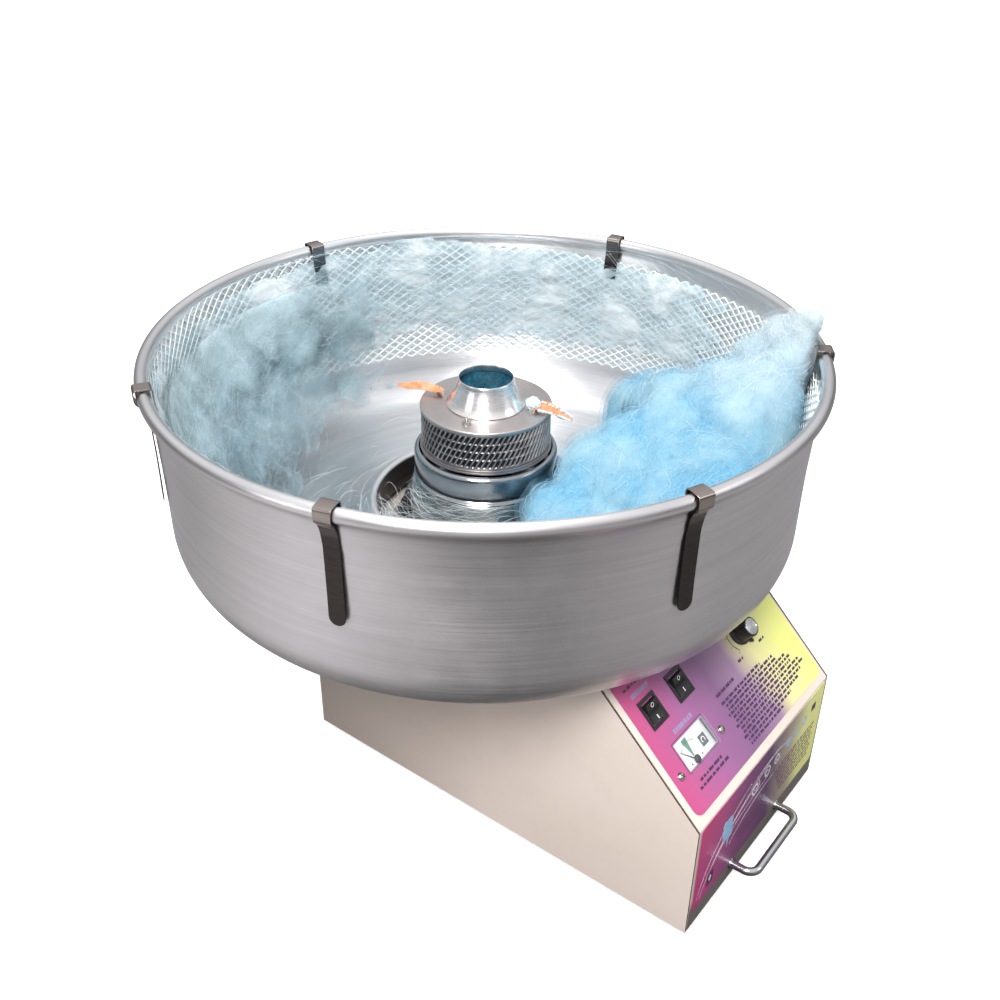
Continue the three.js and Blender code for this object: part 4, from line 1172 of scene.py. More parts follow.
BAND_OUTER, BAND_INNER = 64.4, 62.4
BAND_COLUMNS, BAND_LINES = 74, 4
BAND_MARGIN = 1.6  # plain strip above and below the slots


def band_radius(turn, height, tall):
    """The band's outer face: slanted slots pressed in, with raised lips between. turn counts columns."""
    v = (height - BAND_MARGIN) / (tall - 2 * BAND_MARGIN) * BAND_LINES
    if not 0 <= v < BAND_LINES:
        return BAND_OUTER
    u = (turn - 0.85 * v) % 1.0
    f = v - math.floor(v)
    slot = max(0.0, 1 - ((u - 0.40) / 0.33) ** 4) * max(0.0, 1 - ((f - 0.5) / 0.455) ** 8)
    lip = math.exp(-(((u - 0.92 + 0.5) % 1.0 - 0.5) / 0.10) ** 2)
    return BAND_OUTER - 1.5 * slot + 0.75 * lip


def band_steel():
    """Worn steel on the band's lips; near-black down in its slots, painted shade in their depth."""
    n = Nodes("band_steel")
    x, y, _ = n.split(n.coords())
    # painted shade: near-black where the pressed slots sink below the band's face
    depth = n.spread(n.radius(x, y), 0.0, 1.0, 0.0634, 0.0650)
    soot = n.noise(n.coords(), 70.0, 4.0, 0.6)
    metal = n.mix(n.spread(soot, 0, 1), (0.27, 0.255, 0.26), (0.64, 0.61, 0.61))
    n.set(Base_Color=n.mix(depth, (0.030, 0.030, 0.036), metal), Metallic=0.85,
          Roughness=n.spread(soot, 0.28, 0.45))
    return n.material


def build_band():
    """Perforated ring: rows of slanted slots pressed into the sheet."""
    low, high = BAND_LOW - 0.1, BAND_HIGH + 0.1
    across, up = 14, 12  # points to a slot
    steps, rows = BAND_COLUMNS * across, BAND_LINES * up + 1
    angles = [TAU * i / steps for i in range(steps)]
    heights = [float(z) for z in np.linspace(low, high, rows)]
    points = [round_z(band_radius(i / across, z - low, high - low), a, z)
              for i, a in enumerate(angles) for z in heights]
    base = len(points)
    points += [round_z(BAND_INNER, a, z) for a in angles for z in (low, high)]
    faces = []
    for i in range(steps):
        k = (i + 1) % steps
        faces += [(i * rows + j, k * rows + j, k * rows + j + 1, i * rows + j + 1) for j in range(rows - 1)]
        a, b = base + 2 * i, base + 2 * k
        faces.append((a, a + 1, b + 1, b))
        faces.append((i * rows, a, b, k * rows))
        faces.append((i * rows + rows - 1, k * rows + rows - 1, b + 1, a + 1))
    joined_piece("louvre_band", [(points, faces)], band_steel(), "spinner", ["perforated_band"],
                 40, AT_AXIS)


SUGAR_R = 27.3


def build_sugar():
    """Coloured sugar caked in the funnel: a granular crust, dished in the middle."""
    rng = np.random.default_rng(5)
    rings, steps = 26, 120
    top = FUNNEL_HIGH - 14.0
    points = []
    for j in range(rings + 1):
        r = SUGAR_R * j / rings
        for i in range(steps):
            a = TAU * i / steps
            grain = rng.uniform(-0.35, 0.35)
            lumps = 1.2 * math.sin(2 * a + 0.5) + 0.7 * math.sin(5 * a + r * 0.3)
            z = top - 6.0 + 13.0 * (r / 27.6) ** 5 + grain + lumps * (1 - (r / 27.6) ** 2)
            points.append(round_z(r, a, z if j < rings else z + 0.3))
    points += [round_z(SUGAR_R - 0.3, TAU * i / steps, top - 12) for i in range(steps)]
    faces = [face[::-1] for face in tube_faces(rings + 2, steps)]
    faces.append(tuple((rings + 1) * steps + i for i in reversed(range(steps))))
    n = Nodes("blue_sugar")
    grain = n.noise(n.coords(), 420.0, 3.0, 0.7)
    wet = n.noise(n.coords(), 60.0, 4.0, 0.6)
    base = n.ramp(n.math("ADD", n.math("MULTIPLY", grain, 0.5), n.math("MULTIPLY", wet, 0.5)),
                  [(0.3, (0.001, 0.011, 0.021)), (0.5, (0.004, 0.052, 0.086)), (0.72, (0.02, 0.16, 0.23))])
    n.set(Base_Color=base, Roughness=0.6, Specular_IOR_Level=0.2, Normal=n.bump(grain, 0.6, 0.001))
    joined_piece("funnel_sugar", [(points, faces)], n.material, "spinner", (), 60, AT_AXIS)


def ball(subdivisions):
    """Points of a unit sphere, and its faces."""
    shape = bmesh.new()
    bmesh.ops.create_icosphere(shape, subdivisions=subdivisions, radius=1.0)
    points = np.array([v.co[:] for v in shape.verts])
    faces = [tuple(v.index for v in f.verts) for f in shape.faces]
    shape.free()
    return points, faces


def sugar_crust():
    n = Nodes("sugar_crust")
    grain = n.noise(n.coords(), 500.0, 4.0, 0.7)
    broad = n.noise(n.coords(), 90.0, 3.0, 0.6)
    base = n.mix(n.spread(broad, 0, 1), (0.42, 0.66, 0.74), (0.86, 0.92, 0.93))
    n.set(Base_Color=base, Roughness=0.5, Normal=n.bump(grain, 0.6, 0.0008), Subsurface_Weight=0.2)
    return n.material


def build_crust():
    """Sugar that has baked on to the right-hand stud and the streamer beside it."""
    rng = np.random.default_rng(67)
    unit, ball_faces = ball(3)
    a = math.radians(STUD_ANGLES[3])
    out, side = np.array(round_z(1, a, 0)), np.array([-math.sin(a), math.cos(a), 0])
    clumps = [(48, 2, 6.5, 6.4), (45, 6, 5.5, 4.6), (53, 0, 8.0, 4.2)]  # along, across, height, size
    for _ in range(46):
        along = rng.uniform(54, 88)
        edge = rng.choice((-1, 1)) * (5.4 - 0.09 * (along - 54))
        droop = 9 * (max(along - 46, 0) / 43) ** 2.2
        clumps.append((along, edge, 6.0 - droop + 0.45 * edge, rng.uniform(0.6, 1.5)))
    parts = []
    for along, across, height, size in clumps:
        grain = 1 + 0.30 * waves(unit * 10, 68 + int(along), 9) + 0.05 * rng.normal(size=len(unit))
        centre = out * along + side * across + np.array([0, 0, HEAD_TOP + height])
        points = centre + unit * (grain * size)[:, None]
        if along < 64:
            points[:, 2] = np.maximum(points[:, 2], HEAD_TOP + 0.4)
        parts.append(([tuple(p) for p in points], ball_faces))
    joined_piece("sugar_crust", parts, sugar_crust(), "spinner", (), 50, AT_AXIS)


def build_nuts():
    """A washer, a hexagon nut and the stud's thread at each of the heater's terminals."""
    steel = plain_metal("nut_steel", (0.62, 0.60, 0.58), 0.2, strength=0.2)
    for index, degrees in enumerate(STUD_ANGLES, 1):
        thread = [(0, 0, 3.9 + 0.25 * k) for k in range(13)]
        parts = [slab(disc(0, 0, 4.9, 24), 0.0, 0.7), slab(disc(0, 0, 4.1, 6), 0.7, 3.9),
                 sweep(thread, [1.9 if k % 2 else 1.65 for k in range(13)], 16)]
        a = math.radians(degrees)
        foot = AXIS + Vector(round_z(STUD_R, a, HEAD_TOP + 0.15)) * MM
        spot = Matrix.Translation(foot) @ Matrix.Rotation(a, 4, "Z")
        nut = joined_piece(f"stud_nut_{index}", parts, steel, "spinner",
                           [f"terminal_nut_{index}"], 35, spot)
        bevel(nut, 0.25, 2, 50)


def streamer_width(width, t):
    """The strip's width t of the way along it: pinched at the stud, frayed to a point at its free end."""
    return width * min(1.0, 0.6 + 3.2 * t) * (1 - 0.35 * t) * (1 - max(0.0, t - 0.7) ** 1.3 * 3.2)


def orange_cloth():
    n = Nodes("orange_cloth")
    weave = n.noise(n.coords((900, 900, 900)), 1.0, 2.0, 0.5)
    stain = n.noise(n.coords(), 130.0, 4.0, 0.6)
    base = n.mix(n.spread(stain, 0, 1, 0.35, 0.75), (0.74, 0.17, 0.045), (0.72, 0.40, 0.27))
    n.set(Base_Color=base, Roughness=0.75, Normal=n.bump(weave, 0.4, 0.0004))
    return n.material


STREAMERS = (
    # side, stud, degrees, how far out it reaches, droop, width, twist, how it is held
    ("left", 2, 108, 95, 0.5, 10.4, -0.8, "laid"),
    ("right", 4, 290, 89, 9, 12.5, 0.75, "hung"),
)
STREAMER_STEPS = 40


def build_streamers():
    cloth = orange_cloth()
    for side, stud, degrees, reach, droop, width, twist, held in STREAMERS:
        name = f"streamer_{side}_cloth"
        mesh, length = streamer_mesh(name, degrees, reach, droop, width, twist)
        obj = finish_piece(name, mesh, cloth, "spinner", [f"streamer_{side}"], 40, AT_AXIS)
        thick = obj.modifiers.new("thick", "SOLIDIFY")
        thick.thickness = 0.7 * MM
        thick.offset = 0.0


def streamer_mesh(name, degrees, reach, droop, width, twist):
    """A strip of cloth, pinched at its stud and frayed to a point, and the length along it."""
    a = math.radians(degrees)
    out, side = Vector((math.cos(a), math.sin(a), 0)), Vector((-math.sin(a), math.cos(a), 0))
    across = 8
    points, middle = [], []
    start = STUD_R - 4
    for i in range(STREAMER_STEPS + 1):
        t = i / STREAMER_STEPS
        r = start + (reach - start) * t
        rise = 3.4 + 2.2 * math.sin(math.pi * min(1, 1.3 * t)) - droop * t ** 2.2
        half = streamer_width(width, t) / 2
        roll = twist * math.sin(2.4 * t)
        middle.append(Vector((r, rise)))
        for j in range(across + 1):
            s = (j / across - 0.5) * 2
            curl_up = 0.8 * s * s * (1 - t)
            ruffle = 0.35 * math.sin(9 * t + 3 * s)
            p = out * r + side * (s * half * math.cos(roll))
            z = HEAD_TOP + rise + s * half * math.sin(roll) + curl_up + ruffle
            points.append((p.x, p.y, max(z, HEAD_TOP + 1.2) if r < 64 else z))
    length = sum((b - a).length for a, b in zip(middle, middle[1:]))
    faces = [face[:1] + face[:0:-1] for face in grid_faces(STREAMER_STEPS, across)]
    return mesh_from(name, points, faces), length


def build_surround():
    """The polished cup under the head and the conical skirt that carries it."""
    polish = spun_metal("cup_polish", (0.30, 0.33, 0.36), 0.13, lines=0.25, anisotropy=0.3, mottle=0.12,
                        tint=(0.36, 0.38, 0.40), around=0.8, pitch=700)
    low, high, r = CUP_LOW, CUP_HIGH, 72.5
    cup = [(30, low), (72.2, low), (73.2, low + 0.4), (73.4, low + 1.2), (72.8, low + 2.0), (71.4, low + 2.8)]
    cup += [(70.6, low + 3.8), (71.3, low + 5.4), (72.2, low + 6.8), (r, low + 8.5), (r, high - 7.0)]
    cup += arc(67.9, high - 5.0, 4.8, 0, 88, 9) + [(67.6, high - 0.6), (68.0, high - 1.4)]
    cup += [(70.6, high - 5.5), (70.9, high - 8), (70.6, low + 8.0), (69, low + 4), (66, low + 2),
            (30, low + 2)]
    lathe_piece("polished_cup", cup, 192, polish, "cabinet", ["head_cup"], 28)
    metal = spun_metal("skirt_spun", (0.44, 0.45, 0.44), 0.22, lines=0.35, anisotropy=0.5, mottle=0.14,
                       around=0.9, pitch=800)
    base, top = DECK_TOP + 0.3, CUP_LOW - 0.3
    skirt = [(100, base), (103, base), (103, base + 1.4), (101.4, base + 2.2), (96, base + 12),
             (89, base + 26)]
    skirt += [(82.4, base + 42), (77.5, base + 55), (74.2, base + 64), (73.0, top - 3), (72.0, top - 0.8),
              (71, top)]
    skirt += [(46, top), (46, top - 2), (70, top - 2), (71, top - 4), (75.8, base + 54), (80.6, base + 41)]
    skirt += [(87.2, base + 25), (94.2, base + 11)]
    lathe_piece("hub_skirt", skirt, 160, metal, "cabinet", ["head_skirt"], 28)


def build_inside():
    groups = (
        (painted("motor_enamel", (0.05, 0.05, 0.055), (0.07, 0.07, 0.075), 0.4, 0.3), 0.8,
         ("motor_housing", "heat_control_body")),
        (plain_metal("inner_bright_steel", (0.50, 0.49, 0.48), 0.3), 0.3,
         ("motor_mount_plate", "motor_shaft", "heater_ribbon")),
        (plain_metal("ring_brass", (0.62, 0.45, 0.18), 0.25), 0.3, ("slip_ring_lower", "slip_ring_upper")),
        (moulded("brush_black", (0.02, 0.02, 0.02), 0.5), 0.4, ("slip_ring_hub", "brush_block")),
    )
    for material, edge, nodes in groups:
        for node in nodes:
            cad(node, material, edge)


# ---------------------------------------------------------------- spun sugar
HEAP = (
    # angle, distance from the axis, height, (radial, around, upward) half-axes, all in mm
    (-62, 212, 318, (92, 150, 92)),
    (-52, 250, 366, (58, 90, 78)),
    (-24, 238, 306, (58, 92, 58)),
    (-88, 232, 304, (66, 100, 62)),
    (-104, 156, 308, (58, 80, 50)),
    (-74, 118, 334, (40, 56, 50)),
    (-99, 106, 326, (28, 44, 30)),
    (-66, 156, 334, (54, 90, 66)),
    (-42, 206, 346, (56, 76, 62)),
    (-47, 280, 408, (34, 58, 52)),
    (-48, 296, 446, (22, 32, 38)),
    (-49, 306, 474, (14, 19, 24)),
    (-50, 315, 492, (9, 12, 12)),
)
HEAP_TOP, FIBRE_TOP = 501.0, 507.0  # highest points that the heap and the loose fibres may reach
# Each see-through shell's stand-off, and its least and greatest cover
HAZE = ((3.5, 0.25, 0.60), (8.0, 0.08, 0.36), (13.0, 0.0, 0.20))
HEAP_FIBRES = (
    # name, how many, radius, dark and light tone, lowest place
    ("floss_fibres_white", 1200, 0.14, (0.54, 0.72, 0.80), (0.77, 0.85, 0.89), FLOOR_Z + 22),
    ("floss_fibres_blue", 2200, 0.16, (0.22, 0.52, 0.71), (0.42, 0.68, 0.81), FLOOR_Z + 22),
    ("floss_fibres_deep", 600, 0.17, (0.09, 0.34, 0.52), (0.20, 0.48, 0.67), FLOOR_Z + 22),
    ("floss_fibres_tip", 1100, 0.13, (0.74, 0.83, 0.87), (0.88, 0.92, 0.93), BOWL_TOP - 46),
)


def waves(points, seed, size, count=14):
    """Smooth pseudo-random field of about -1 to 1: a fixed set of plane waves near that wavelength."""
    rng = np.random.default_rng(seed)
    directions = rng.normal(size=(count, 3))
    directions /= np.linalg.norm(directions, axis=1)[:, None]
    lengths = size * rng.uniform(0.7, 1.5, count)
    phases = rng.uniform(0, TAU, count)
    sines = np.sin(points @ (directions / lengths[:, None]).T * TAU + phases)
    return sines.sum(axis=1) / math.sqrt(2 * count)


def keep_in_bowl(points, gap):
    """Pushes points back inside the bowl, away from its wall, corner, floor and hub."""
    x, y, z = points.T
    r = np.maximum(np.hypot(x, y), 1e-6)
    wall = wall_radius(np.clip(z - BOWL_BOTTOM, 0, 205), SHEET) - gap
    new_r = np.where(z > BOWL_TOP + 3, r, np.minimum(r, wall))
    new_r = np.maximum(new_r, np.interp(z, (300, 318), (101, 80)))
    new_z = np.maximum(z, FLOOR_Z + hub_rise(new_r) + gap)
    out, down = new_r - CORNER_R, CORNER_Z - new_z
    reach = np.hypot(out, down)
    limit = CORNER - SHEET - gap
    tight = (out > 0) & (down > 0) & (reach > limit)
    scale = np.where(tight, limit / np.maximum(reach, 1e-6), 1.0)
    new_r = np.where(tight, CORNER_R + out * scale, new_r)
    new_z = np.where(tight, CORNER_Z - down * scale, new_z)
    return np.stack([x / r * new_r, y / r * new_r, new_z], axis=1)


def lump(angle, distance, z, halves, grow):
    """One billowing lump of spun sugar as (points, faces), its skin pushed out by grow mm."""
    unit, faces = ball(6)
    turn = math.radians(angle)
    out = np.array([math.cos(turn), math.sin(turn), 0])
    side = np.array([-math.sin(turn), math.cos(turn), 0])
    points = unit[:, :1] * halves[0] * out + unit[:, 1:2] * halves[1] * side
    points = points + unit[:, 2:] * np.array([0, 0, halves[2]]) + out * distance + np.array([0, 0, z])
    swell = 9 * waves(points, 21, 95) + 4.5 * waves(points, 22, 44) + 2.0 * waves(points, 23, 20)
    swell += 1.0 * waves(points, 24, 9)
    spread = unit[:, :1] * out + unit[:, 1:2] * side + unit[:, 2:] * np.array([0, 0, 1])
    points = keep_in_bowl(points + spread * (swell + grow)[:, None], max(1.0, 5.0 - grow))
    points[:, 2] = np.minimum(points[:, 2], HEAP_TOP + grow / 2)
    return [tuple(p) for p in points], faces


def soft_normal(n, normal, share):
    """Turns the shading mostly upward, as a loose cloud of fibres takes light all through its depth."""
    scaled_down = n.add("ShaderNodeVectorMath", {0: normal, "Scale": share}, operation="SCALE")
    return n.vector("NORMALIZE", n.vector("ADD", scaled_down, (0, 0, 1 - share)))


def dense_floss():
    """Packed spun sugar: deep blue in its hollows, paler threads over it, almost white towards the top."""
    n = Nodes("dense_floss")
    height = n.spread(n.split(n.coords())[2], 0, 1, 0.405, 0.49)
    broad = n.noise(n.coords(), 16.0, 4.0, 0.6, 0.6)
    threads = n.noise(n.polar(10.0, 330.0), 1.0, 5.0, 0.7, 0.4)
    fuzz = n.noise(n.coords((1, 1, 1.6)), 420.0, 5.0, 0.75)
    tip = (0.74, 0.85, 0.88)
    base = n.mix(n.spread(broad, 0, 1, 0.36, 0.62), (0.070, 0.31, 0.53), (0.17, 0.45, 0.64))
    base = n.mix(n.spread(threads, 0, 0.55, 0.45, 0.75), base, tip)
    base = n.mix(n.math("MULTIPLY", height, n.spread(fuzz, 0.55, 1.0)), base, tip)
    n.set(Base_Color=base, Roughness=0.9, Sheen_Weight=0.4, Sheen_Roughness=0.5, Specular_IOR_Level=0.15)
    n.set(Subsurface_Weight=0.35, Subsurface_Radius=(0.006, 0.012, 0.018), Subsurface_Scale=1.0)
    first = n.bump(threads, 0.35, 0.003)
    n.set(Normal=soft_normal(n, n.bump(fuzz, 0.4, 0.0016, first), 0.6))
    return n.material


def haze_material(name, dark, light, least, most, around=14.0, across=120.0, pale_from=None,
                  pale=(0.80, 0.88, 0.90), thready=0.35):
    """Loose web of sugar: pale, matt, see-through between its threads, paler above the height pale_from."""
    n = Nodes(name)
    cloud = n.noise(n.coords(), 19.0, 3.5, 0.52, 0.35)
    threads = n.noise(n.polar(around, across), 1.0, 6.0, 0.75, 0.7)
    fuzz = n.noise(n.coords(), 260.0, 5.0, 0.75)
    base = n.mix(n.spread(cloud, 0, 1, 0.36, 0.64), dark, light)
    if pale_from:
        height = n.split(n.coords())[2]
        base = n.mix(n.spread(height, 0, 0.85, pale_from, pale_from + 0.075), base, pale)
    cover = n.math("ADD", n.math("MULTIPLY", cloud, 0.90 - thready), n.math("MULTIPLY", threads, thready))
    cover = n.math("ADD", cover, n.math("MULTIPLY", fuzz, 0.14))
    n.set(Base_Color=base, Roughness=0.9, Sheen_Weight=0.25, Specular_IOR_Level=0.1)
    n.set(Alpha=n.spread(cover, least, most, 0.41, 0.65))
    n.set(Normal=soft_normal(n, n.bump(fuzz, 0.25, 0.0015), 0.35))
    return n.material


def fibre_material(name, dark, light):
    n = Nodes(name)
    tone = n.noise(n.coords(), 50.0, 3.0, 0.6)
    n.set(Base_Color=n.mix(n.spread(tone, 0, 1), dark, light), Roughness=0.6, Sheen_Weight=0.3)
    return n.material


def floss_shell(name, grow, voxel, material):
    """The heap's surface, pushed out by grow mm and merged into one skin."""
    parts = [lump(*entry, grow=grow) for entry in HEAP]
    replaced = ["floss_heap"] if grow == 0 else ()
    shell = joined_piece(name, parts, material, "bowl", replaced, 0, AT_AXIS)
    merge = shell.modifiers.new("merge", "REMESH")
    merge.mode = "VOXEL"
    merge.voxel_size = voxel * MM
    merge.use_smooth_shade = True
    soften = shell.modifiers.new("soften", "SMOOTH")
    soften.factor = 0.5
    soften.iterations = 14
    return shell


def build_heap():
    """Dense heap at the front right: lumps merged into one soft surface, then hazed over with fibres."""
    heap = floss_shell("floss_mound", 0, 2.2, dense_floss())
    for index, (grow, least, most) in enumerate(HAZE, 1):
        name = f"floss_haze_{index}"
        haze = haze_material(name, (0.165, 0.45, 0.65), (0.43, 0.67, 0.78), least, most, pale_from=0.415)
        floss_shell(name, grow, 3.0, haze)
    bpy.context.view_layer.update()
    merged = heap.evaluated_get(bpy.context.evaluated_depsgraph_get()).to_mesh()
    spots = np.array([v.co[:] for v in merged.vertices]) / MM
    normals = np.array([v.normal[:] for v in merged.vertices])
    tree = BVHTree.FromPolygons([tuple(p) for p in spots], [tuple(f.vertices) for f in merged.polygons])
    rng = np.random.default_rng(31)
    for name, count, radius, dark, light, lowest in HEAP_FIBRES:
        chosen = np.flatnonzero((spots[:, 2] > lowest) & (normals[:, 2] > -0.35))
        starts = rng.choice(chosen, count)
        parts = [fibre_on(tree, spots[i], normals[i], radius, rng) for i in starts]
        floss_piece(name, parts, fibre_material(name, dark, light))


def taper(radius, steps):
    return [radius * (0.35 + 0.65 * math.sin(math.pi * (k + 0.4) / (steps + 0.8))) for k in range(steps + 1)]


def fibre(path, radius, gap):
    """A tapered thread along a path, kept that far inside the bowl."""
    inside = keep_in_bowl(np.array(path), gap)
    inside[:, 2] = np.minimum(inside[:, 2], FIBRE_TOP)
    return sweep([tuple(p) for p in inside], taper(radius, len(path) - 1), 3)


def fibre_on(tree, start, normal, radius, rng, steps=9):
    """A loose fibre that mostly follows the surface round the bowl, and sometimes lifts off it."""
    spot, up = Vector(start), Vector(normal)
    around = Vector((-spot.y, spot.x, 0)).normalized()
    heading = (around + Vector(rng.normal(0, 0.55, 3))).normalized()
    step = rng.uniform(2.0, 5.5)
    lift = abs(rng.normal(0, 3.4))
    path = []
    for k in range(steps + 1):
        height = 0.4 + lift * math.sin(math.pi * k / steps) + (0.7 * lift * k / steps if lift > 3 else 0)
        path.append((spot + up * height)[:])
        heading = (heading + Vector(rng.normal(0, 0.16, 3)) - up * heading.dot(up)).normalized()
        spot, up, _, _ = tree.find_nearest(spot + heading * step)
    return fibre(path, radius, 1.5)


VEIL_DEGREES, VEIL_HEIGHTS = (-24, 222), (322, 466)
VEIL_FIBRES = (
    ("veil_fibres_white", 1400, 0.14, (0.62, 0.74, 0.78), (0.80, 0.86, 0.88)),
    ("veil_fibres_cyan", 900, 0.15, (0.36, 0.57, 0.65), (0.52, 0.70, 0.76)),
)


def veil_density(degrees, z):
    """How thickly the sugar covers the wall there, 0 to 1."""
    ends = np.interp(degrees, (-24, -8, 30, 70, 190, 222), (0.0, 0.62, 0.80, 1.0, 0.95, 0.0))
    raised = np.interp(degrees, (36, 52, 68, 84), (0.0, 9.0, 9.0, 0.0))
    height = np.interp(z - raised, (318, 345, 385, 420, 440, 458), (0.0, 0.40, 0.95, 1.0, 0.75, 0.0))
    return ends * height


def build_veil():
    """Thin web of sugar over the netting, torn into holes where it thins out."""
    across, up = 760, 60
    degrees, z = np.linspace(*VEIL_DEGREES, across + 1), np.linspace(*VEIL_HEIGHTS, up + 1)
    a, h = (grid.ravel() for grid in np.meshgrid(degrees, z, indexing="ij"))
    turn = np.radians(a)
    flat = np.stack([turn * 300, h * 1.7, 0 * h], axis=1)
    streak = 0.55 * waves(flat, 41, 120) + 0.45 * waves(flat, 42, 46) + 0.3 * waves(flat, 43, 17)
    fullness = veil_density(a, h) + 0.30 * streak
    bulge = 3.6 + 5.0 * np.clip(fullness, 0, 1.2) + 0.9 * waves(flat, 44, 26) + 0.15 * waves(flat, 45, 9)
    r = wall_radius(h - BOWL_BOTTOM, SHEET) - bulge
    points = np.stack([r * np.cos(turn), r * np.sin(turn), h], axis=1)
    web = haze_material("veil_floss", (0.43, 0.66, 0.76), (0.77, 0.85, 0.88), 0.16, 0.74, 9.0, 60.0,
                        thready=0.14)
    joined_piece("floss_veil", [(points, grid_faces(across, up, fullness > 0.26))], web, "bowl",
                 ["floss_wall"], 0, AT_AXIS)
    build_drift()
    build_veil_fibres()


DRIFT_DEGREES = (58, 80, 105, 135, 165, 192, 214)
DRIFT_REACH = (298, 258, 208, 200, 224, 262, 296)  # how near the axis the cloud comes at those angles
DRIFT_DEPTHS = (0.30, 0.55, 0.78, 1.0)


def drift_point(turn, along, depth):
    """A point of the cloud on the left-hand wall: along runs from the wall down to the floor."""
    reach = 300 + (np.interp(np.degrees(turn), DRIFT_DEGREES, DRIFT_REACH) - 300) * depth
    knee = 302 + (reach - 302) * 0.42
    r = (1 - along) ** 2 * (309 - 6 * depth) + 2 * along * (1 - along) * knee + along ** 2 * reach
    z = (1 - along) ** 2 * 440 + 2 * along * (1 - along) * (318 + 34 * depth) + along ** 2 * (FLOOR_Z + 6)
    return r, z


def build_drift():
    """Billowing layers between the wall and the floor on the left, each torn and half transparent."""
    across, up = 260, 90
    turns = np.radians(np.linspace(DRIFT_DEGREES[0], DRIFT_DEGREES[-1], across + 1))
    alongs = np.linspace(0.02, 1, up + 1)
    t, v = (grid.ravel() for grid in np.meshgrid(turns, alongs, indexing="ij"))
    inward = np.stack([-np.cos(t), -np.sin(t), np.full_like(t, 0.55)], axis=1)
    lift = np.sin(np.pi * np.clip(v, 0, 1)) * 0.8 + 0.2
    fade = np.interp(np.degrees(t), (58, 85, 190, 214), (0.0, 1.0, 1.0, 0.0))
    fade = fade * np.interp(v, (0, 0.1, 0.75, 1), (0.6, 1, 1, 0.1))
    for index, depth in enumerate(DRIFT_DEPTHS, 1):
        r, z = drift_point(t, v, depth)
        points = np.stack([r * np.cos(t), r * np.sin(t), z], axis=1)
        billow = 7 * waves(points, 60 + index, 95) + 3 * waves(points, 70 + index, 42)
        billow = billow + 0.7 * waves(points, 80 + index, 14)
        torn = waves(points, 90 + index, 60) + 0.6 * waves(points, 95 + index, 24)
        points = keep_in_bowl(points + inward * (billow * lift)[:, None], 1.5 + index)
        name = f"floss_drift_{index}"
        haze = haze_material(name, (0.19, 0.34, 0.42), (0.38, 0.54, 0.60), 0.05, 0.46, 12.0, 60.0,
                             pale_from=0.36, pale=(0.63, 0.80, 0.86))
        floss_piece(name, [(points, grid_faces(across, up, fade + 0.34 * torn > 0.42))], haze)
    build_drift_fibres()


def build_drift_fibres():
    rng = np.random.default_rng(53)
    parts = []
    for _ in range(1500):
        turn, along = math.radians(rng.uniform(64, 208)), rng.uniform(0.05, 0.97)
        depth = rng.uniform(0.4, 1.08)
        heading, length = rng.normal(0, 0.9), rng.uniform(25, 80)
        path = []
        for k in range(10):
            step = length * k / 9
            r, z = drift_point(turn, along, depth)
            path.append(round_z(r, turn, z + 2.5 * math.sin(step / 9 + depth * 20)))
            turn += math.cos(heading) * length / 9 / 270
            along = min(max(along + math.sin(heading) * length / 9 / 210, 0.02), 0.99)
        parts.append(fibre(path, 0.12, 1.2))
    floss_piece("drift_fibres", parts, fibre_material("drift_fibres", (0.36, 0.53, 0.60), (0.60, 0.72, 0.76)))


def build_veil_fibres():
    rng = np.random.default_rng(47)
    for name, count, radius, dark, light in VEIL_FIBRES:
        parts = []
        while len(parts) < count:
            degrees, z = rng.uniform(*VEIL_DEGREES), rng.uniform(*VEIL_HEIGHTS)
            if veil_density(degrees, z) + 0.06 > rng.uniform(0, 1):
                parts.append(wall_fibre(degrees, z, radius, rng))
        floss_piece(name, parts, fibre_material(name, dark, light))


def wall_fibre(degrees, z, radius, rng, steps=10):
    """A fibre thrown against the wall: mostly level, gently waving."""
    turn, slope = math.radians(degrees), rng.normal(0, 0.50)
    length = rng.uniform(25, 95)
    depth = rng.uniform(2.6, 11.5)
    wave, phase = rng.uniform(0.4, 2.4), rng.uniform(0, TAU)
    path = []
    for k in range(steps + 1):
        t = k / steps
        h = min(max(z + slope * t * length + wave * math.sin(5 * t + phase), 320), 466)
        r = wall_radius(h - BOWL_BOTTOM, SHEET) - depth - 1.3 * math.sin(4 * t + phase)
        path.append(round_z(r, turn + t * length / 305, h))
    return sweep(path, taper(radius, steps), 3)


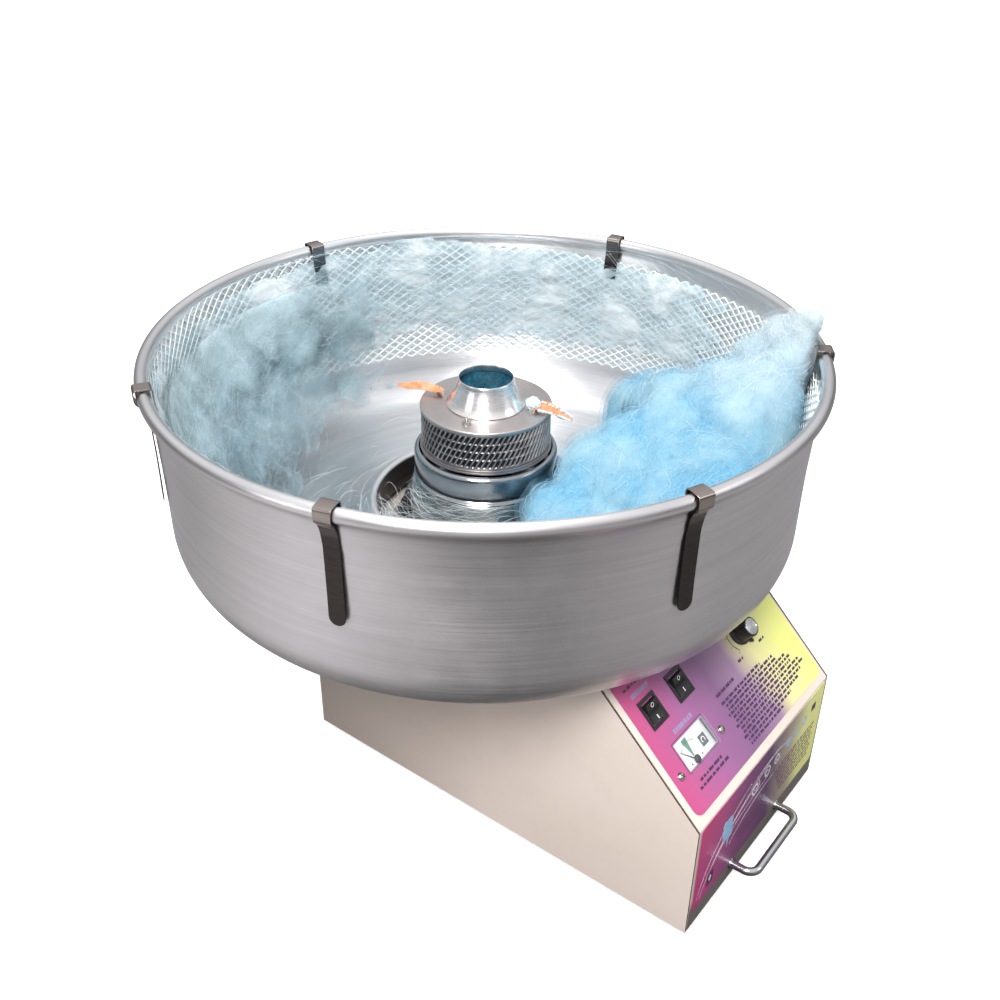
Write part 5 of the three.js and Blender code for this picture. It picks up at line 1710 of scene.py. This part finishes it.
def build_wisps():
    """Loose fibres on the bowl's floor and across its front wall."""
    rng = np.random.default_rng(59)
    parts = []
    for index in range(900):
        near_hub = index % 2
        degrees = rng.normal(178, 24) if near_hub else rng.normal(-150, 60)
        start, heading = (rng.uniform(103, 150) if near_hub else rng.uniform(122, 285)), rng.normal(0, 0.5)
        length, lift = rng.uniform(20, 70), abs(rng.normal(0, 12 if near_hub else 3.5))
        path = []
        for k in range(9):
            t = k / 8
            a = math.radians(degrees) + t * length / start * math.cos(heading)
            r = start + t * length * math.sin(heading) * 0.6
            path.append(round_z(r, a, FLOOR_Z + 0.6 + float(hub_rise(r)) + lift * math.sin(math.pi * t)))
        parts.append(fibre(path, 0.14, 0.9))
    floss_piece("floor_wisps", parts, fibre_material("wisp_fibres", (0.60, 0.70, 0.74), (0.86, 0.90, 0.92)))


def build_hub_web():
    """Loose web of white sugar strung across the gap between the hub's hole and the cup, on the near left."""
    rng = np.random.default_rng(71)
    parts = []
    for _ in range(210):
        turn, start = math.radians(rng.uniform(146, 222)), rng.uniform(81, 114)
        length, heading = rng.uniform(16, 50), rng.normal(0, 0.36)
        sag, phase = rng.normal(0, 3.0), rng.uniform(0, TAU)
        path = []
        for k in range(10):
            t = k / 9
            r = min(max(start + t * length * 0.6 * math.sin(heading), 80.5), 122)
            rest = float(np.interp(r, (80, 96, 112, 122), (334, 322, 305, 302)))
            z = rest + sag * math.sin(math.pi * t) + 1.6 * math.sin(7 * t + phase)
            path.append(round_z(r, turn + t * length / start * math.cos(heading), z))
        parts.append(fibre(path, 0.13, 0.9))
    floss_piece("hub_web", parts, fibre_material("web_fibres", (0.40, 0.44, 0.46), (0.78, 0.80, 0.81)))


def main():
    place_studio()
    place_camera()
    build_cabinet()
    build_handle()
    build_control_print()
    build_front_print()
    build_switches()
    build_meter()
    build_panel_screws()
    build_knob()
    build_surround()
    build_inside()
    build_head()
    build_nuts()
    build_streamers()
    build_crust()
    build_bowl()
    build_netting()
    build_clips()
    build_veil()
    build_heap()
    build_wisps()
    build_hub_web()


main()
